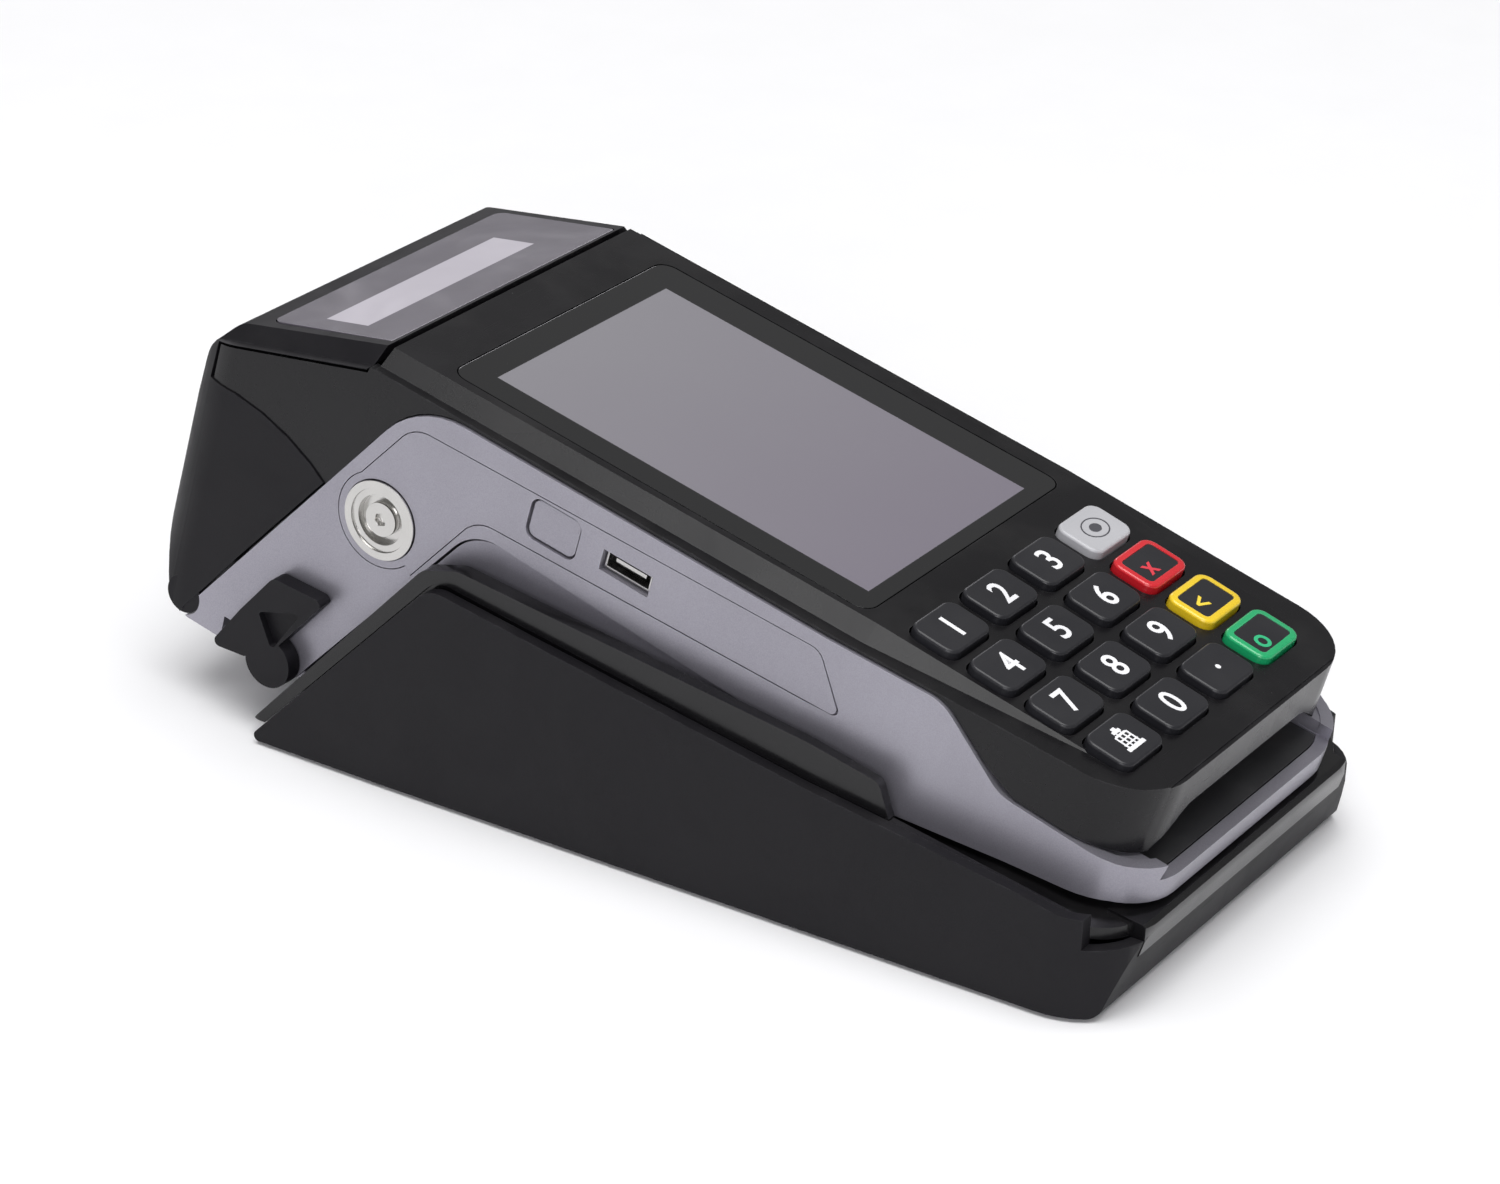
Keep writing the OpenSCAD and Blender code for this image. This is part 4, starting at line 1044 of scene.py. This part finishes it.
@dataclass
class Keypad:
    """Sixteen keys with rounded rims, coloured frames and printed signs."""

    pitch: tuple[float, float] = (15.3 * MM, 10.95 * MM)
    first: tuple[float, float] = (-24.8 * MM, -8.5 * MM)
    size: tuple[float, float] = (12.4 * MM, 8.9 * MM)
    corner: float = 2.2 * MM
    rim: float = 0.55 * MM
    top: float = 1.5 * MM
    foot: float = -3.3 * MM
    flange: float = 0.8 * MM
    frame_width: float = 0.75 * MM
    well: float = 0.3 * MM
    ink: float = 0.02 * MM
    looks: tuple[KeyLook, ...] = (
        KeyLook("key_1", 0, 0, glyph="1"), KeyLook("key_2", 1, 0, glyph="2"), KeyLook("key_3", 2, 0, glyph="3"),
        KeyLook("key_menu", 3, 0, Sign.OVALS, finish=KEY_GREY),
        KeyLook("key_4", 0, 1, glyph="4"), KeyLook("key_5", 1, 1, glyph="5"), KeyLook("key_6", 2, 1, glyph="6"),
        KeyLook("key_cancel", 3, 1, glyph="x", finish=KEY_RED, inlay="cancel_inlay",
                shift=(-1.4 * MM, -0.9 * MM), height=3.8 * MM),
        KeyLook("key_7", 0, 2, glyph="7"), KeyLook("key_8", 1, 2, glyph="8"), KeyLook("key_9", 2, 2, glyph="9"),
        KeyLook("key_clear", 3, 2, glyph="<", finish=KEY_YELLOW, inlay="clear_inlay",
                shift=(-1.9 * MM, -0.2 * MM), height=3.6 * MM),
        KeyLook("key_feed", 0, 3, Sign.RECEIPT), KeyLook("key_0", 1, 3, glyph="0"),
        KeyLook("key_dot", 2, 3, glyph="."),
        KeyLook("key_enter", 3, 3, glyph="o", finish=KEY_GREEN, inlay="enter_inlay",
                shift=(-1.9 * MM, -1.2 * MM), height=4.4 * MM))

    def place(self, look: KeyLook) -> Matrix:
        """Frame of one key, with its origin in the middle of the key on the deck.

        Args:
            look: The key.

        Returns:
            The frame, seen from the row frame.
        """
        return KEY_PLANE @ Matrix.Translation((self.first[0] + self.pitch[0] * look.col,
                                               self.first[1] - self.pitch[1] * look.row, 0))

    def cap(self, name: str, framed: bool) -> bpy.types.Object:
        """Models one key: a pad with a rounded rim, standing on a hidden flange.

        Args:
            name: The new piece's name.
            framed: Whether its top is sunk inside a raised frame.

        Returns:
            The key, drawn about its own middle.
        """
        clear_selection()
        height = self.top - self.foot
        bpy.ops.mesh.primitive_cube_add(size=1, location=(0, 0, self.foot + height / 2),
                                        scale=(*self.size, height))
        key = named(name)
        settle(key)
        pick_edges(key, lambda a, b: abs(a.z - b.z) > height / 2)
        bpy.ops.mesh.bevel(offset=self.corner, segments=7, affect="EDGES")
        leave_edit()
        pick_faces(key, lambda c, n: n.z > 0.9)
        bpy.ops.mesh.bevel(offset=self.rim, segments=4, affect="EDGES")
        leave_edit()
        if framed:
            pick_faces(key, lambda c, n: n.z > 0.99 and c.z > self.top - 0.01 * MM)
            bpy.ops.mesh.inset(thickness=self.frame_width, depth=0)
            bpy.ops.mesh.inset(thickness=0.08 * MM, depth=-self.well)
            leave_edit()
        pick_faces(key, lambda c, n: n.z < -0.9)
        bpy.ops.mesh.inset(thickness=self.flange, depth=0, use_outset=True)
        leave_edit()
        smooth(key, 35)
        even_shading(key)
        return key

    def build(self) -> None:
        """Makes every key, its dark inlay and its sign."""
        patterns = {framed: self.cap("key_pattern", framed) for framed in (False, True)}
        for look in self.looks:
            place = self.place(look)
            key = bpy.data.objects.new(f"{look.node}_cap", patterns[bool(look.inlay)].data.copy())
            key.data.name = key.name
            bpy.context.scene.collection.objects.link(key)
            settle(key, place)
            body = frame["nodes"][look.node]["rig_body"]
            own_piece(key, body, look.finish)
            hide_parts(look.node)
            level = self.top
            if look.inlay:
                dress(moulded_copy(look.inlay, 0.05 * MM), KEY_BLACK)
                level = self.top - 0.1 * MM
            sign = {Sign.GLYPH: self.glyph, Sign.OVALS: self.ovals, Sign.RECEIPT: self.receipt}[look.sign](look)
            sign.location = (look.shift[0], look.shift[1], level + 1.4 * self.ink)
            settle(sign, place)
            ink = {Sign.OVALS: LEGEND_DARK}.get(look.sign, LEGEND_WHITE)
            own_piece(sign, body, INK_OF.get(look.node, ink))
        for pattern in patterns.values():
            bpy.data.objects.remove(pattern)

    def glyph(self, look: KeyLook) -> bpy.types.Object:
        """Prints one character.

        Args:
            look: The key.

        Returns:
            The sign, drawn about its own middle.
        """
        clear_selection()
        bpy.ops.object.text_add(location=(0, 0, 0))
        text = bpy.context.object
        text.data.body = look.glyph
        text.data.size = look.height * 1.38
        text.data.align_x = "CENTER"
        text.data.extrude = self.ink
        text.data.offset = 0.09 * MM
        text.data.resolution_u = 5
        bpy.ops.object.convert(target="MESH")
        sign = named(f"{look.node}_sign")
        bpy.ops.object.origin_set(type="ORIGIN_GEOMETRY", center="BOUNDS")
        return sign

    def bar(self, centre: tuple[float, float], size: tuple[float, float]) -> bpy.types.Object:
        """Prints one straight bar.

        Args:
            centre: Its middle.
            size: Its width and height.

        Returns:
            The bar.
        """
        clear_selection()
        bpy.ops.mesh.primitive_cube_add(size=1, location=(*centre, 0), scale=(*size, 2 * self.ink))
        made = named("bar")
        settle(made)
        pick_edges(made, lambda a, b: abs(a.z - b.z) > self.ink)
        bpy.ops.mesh.bevel(offset=0.12 * MM, segments=2, affect="EDGES")
        leave_edit()
        return made

    def receipt(self, look: KeyLook) -> bpy.types.Object:
        """Prints the paper feed's sign: a slip of paper rising from a printer.

        Args:
            look: The key.

        Returns:
            The sign.
        """
        bars = [((0, -2.1), (5.0, 0.8)), ((0, 1.75), (2.2, 0.7)), ((0, 2.35), (1.1, 0.6)),
                ((0, -0.1), (3.6, 0.32)), ((0, -1.1), (4.0, 0.32)), ((0, 0.95), (3.0, 0.45)),
                ((-1.65, -0.4), (0.42, 2.8)), ((-0.55, -0.2), (0.36, 3.2)), ((0.55, -0.2), (0.36, 3.2)),
                ((1.65, -0.4), (0.42, 2.8))]
        made = [self.bar((c[0] * MM, c[1] * MM), (d[0] * MM, d[1] * MM)) for c, d in bars]
        clear_selection()
        for index, part in enumerate(made):
            part.data.transform(Matrix.Translation((0, 0, index * 0.0008 * MM)))
            part.select_set(True)
        bpy.context.view_layer.objects.active = made[0]
        bpy.ops.object.join()
        return named(f"{look.node}_sign")

    def ovals(self, look: KeyLook) -> bpy.types.Object:
        """Prints the menu key's sign: a wide ring round a filled oval.

        Args:
            look: The key.

        Returns:
            The sign.
        """
        clear_selection()
        bpy.ops.mesh.primitive_cylinder_add(vertices=48, radius=2.3 * MM, depth=2 * self.ink)
        sign = named(f"{look.node}_sign")
        pick_faces(sign, lambda c, n: abs(n.z) > 0.9)
        bpy.ops.mesh.inset(thickness=0.22 * MM, depth=0)
        bpy.ops.mesh.bridge_edge_loops()
        leave_edit()
        clear_selection()
        bpy.ops.mesh.primitive_cylinder_add(vertices=32, radius=1.0 * MM, depth=2 * self.ink)
        core = bpy.context.object
        round_edges(core, 0.01 * MM, 2)
        sign.select_set(True)
        bpy.context.view_layer.objects.active = sign
        bpy.ops.object.join()
        sign.scale = (1.4, 1.0, 1.0)
        settle(sign)
        return sign


@dataclass
class Studio:
    """Pale floor, soft lights and the camera."""

    eye: tuple[float, float, float] = (-0.5883406, -0.3624795, 0.3624355)
    aim: tuple[float, float, float] = (1.1227173, -0.0414597, -0.9984060)
    lens: float = 110.473
    floor_size: float = 9.0

    def build(self) -> None:
        """Sets up the studio."""
        self.floor()
        self.lights()
        self.camera()
        self.world()

    def floor(self) -> None:
        """Lays the floor just under the feet."""
        clear_selection()
        bpy.ops.mesh.primitive_grid_add(x_subdivisions=8, y_subdivisions=8, size=self.floor_size,
                                        location=(0, 0, -0.0002))
        ground = named("studio_floor")
        settle(ground)
        dress(ground, MouldedPlastic("studio_paper", (0.9, 0.9, 0.91), 0.8, grain_scale=900.0,
                                     grain_depth=0.00001, blotch=0.004, wear_and_highlight=0.0, dust=0.0, smear=0.0,
                                     specular=0.1))

    def area(self, name: str, place: Sequence[float], target: Sequence[float], size: Sequence[float],
             power: float, tint: Colour = (1.0, 1.0, 1.0)) -> None:
        """Hangs one soft box.

        Args:
            name: The light's name.
            place: Where it hangs.
            target: The point it faces.
            size: Its width and height.
            power: Its power in watts.
            tint: Its colour.
        """
        data = bpy.data.lights.new(name, "AREA")
        data.shape = "RECTANGLE"
        data.size, data.size_y = size
        data.energy = power
        data.color = tint
        light = bpy.data.objects.new(name, data)
        bpy.context.scene.collection.objects.link(light)
        way = Vector(target) - Vector(place)
        light.location = place
        light.rotation_euler = way.to_track_quat("-Z", "Y").to_euler()

    def lights(self) -> None:
        """Hangs the key, the fill and the far reflector."""
        self.area("key_soft_box", (-0.3, -0.2, 2.1), (0, 0, 0), (1.8, 1.8), 44.0)
        self.area("front_fill", (-1.7, -0.9, 0.8), (0, 0, 0.03), (1.0, 0.8), 15.0, (0.97, 0.96, 1.0))
        self.area("far_reflector", (1.9, 1.45, 1.1), (0, 0, 0.03), (0.6, 0.6), 4.0, (0.97, 0.95, 1.0))

    def camera(self) -> None:
        """Places the camera."""
        data = bpy.data.cameras.new("viewpoint")
        data.sensor_fit = "HORIZONTAL"
        data.sensor_width = 36.0
        data.lens = self.lens
        data.clip_start = 0.01
        eye = bpy.data.objects.new("viewpoint", data)
        bpy.context.scene.collection.objects.link(eye)
        eye.location = self.eye
        eye.rotation_euler = self.aim
        bpy.context.scene.camera = eye

    def world(self) -> None:
        """Fills the room with even light."""
        room = bpy.data.worlds.new("room")
        room.use_nodes = True
        back = room.node_tree.nodes["Background"]
        back.inputs["Color"].default_value = (1.0, 1.0, 1.0, 1.0)
        back.inputs["Strength"].default_value = 0.28
        bpy.context.scene.world = room
        bpy.context.scene.view_settings.view_transform = "Standard"


def main() -> None:
    """Builds everything in order."""
    logging.basicConfig(level=logging.INFO, format="%(message)s")
    Studio().build()
    CarriedNodes().build()
    Covers().build()
    Keypad().build()


if __name__ == "__main__":
    main()
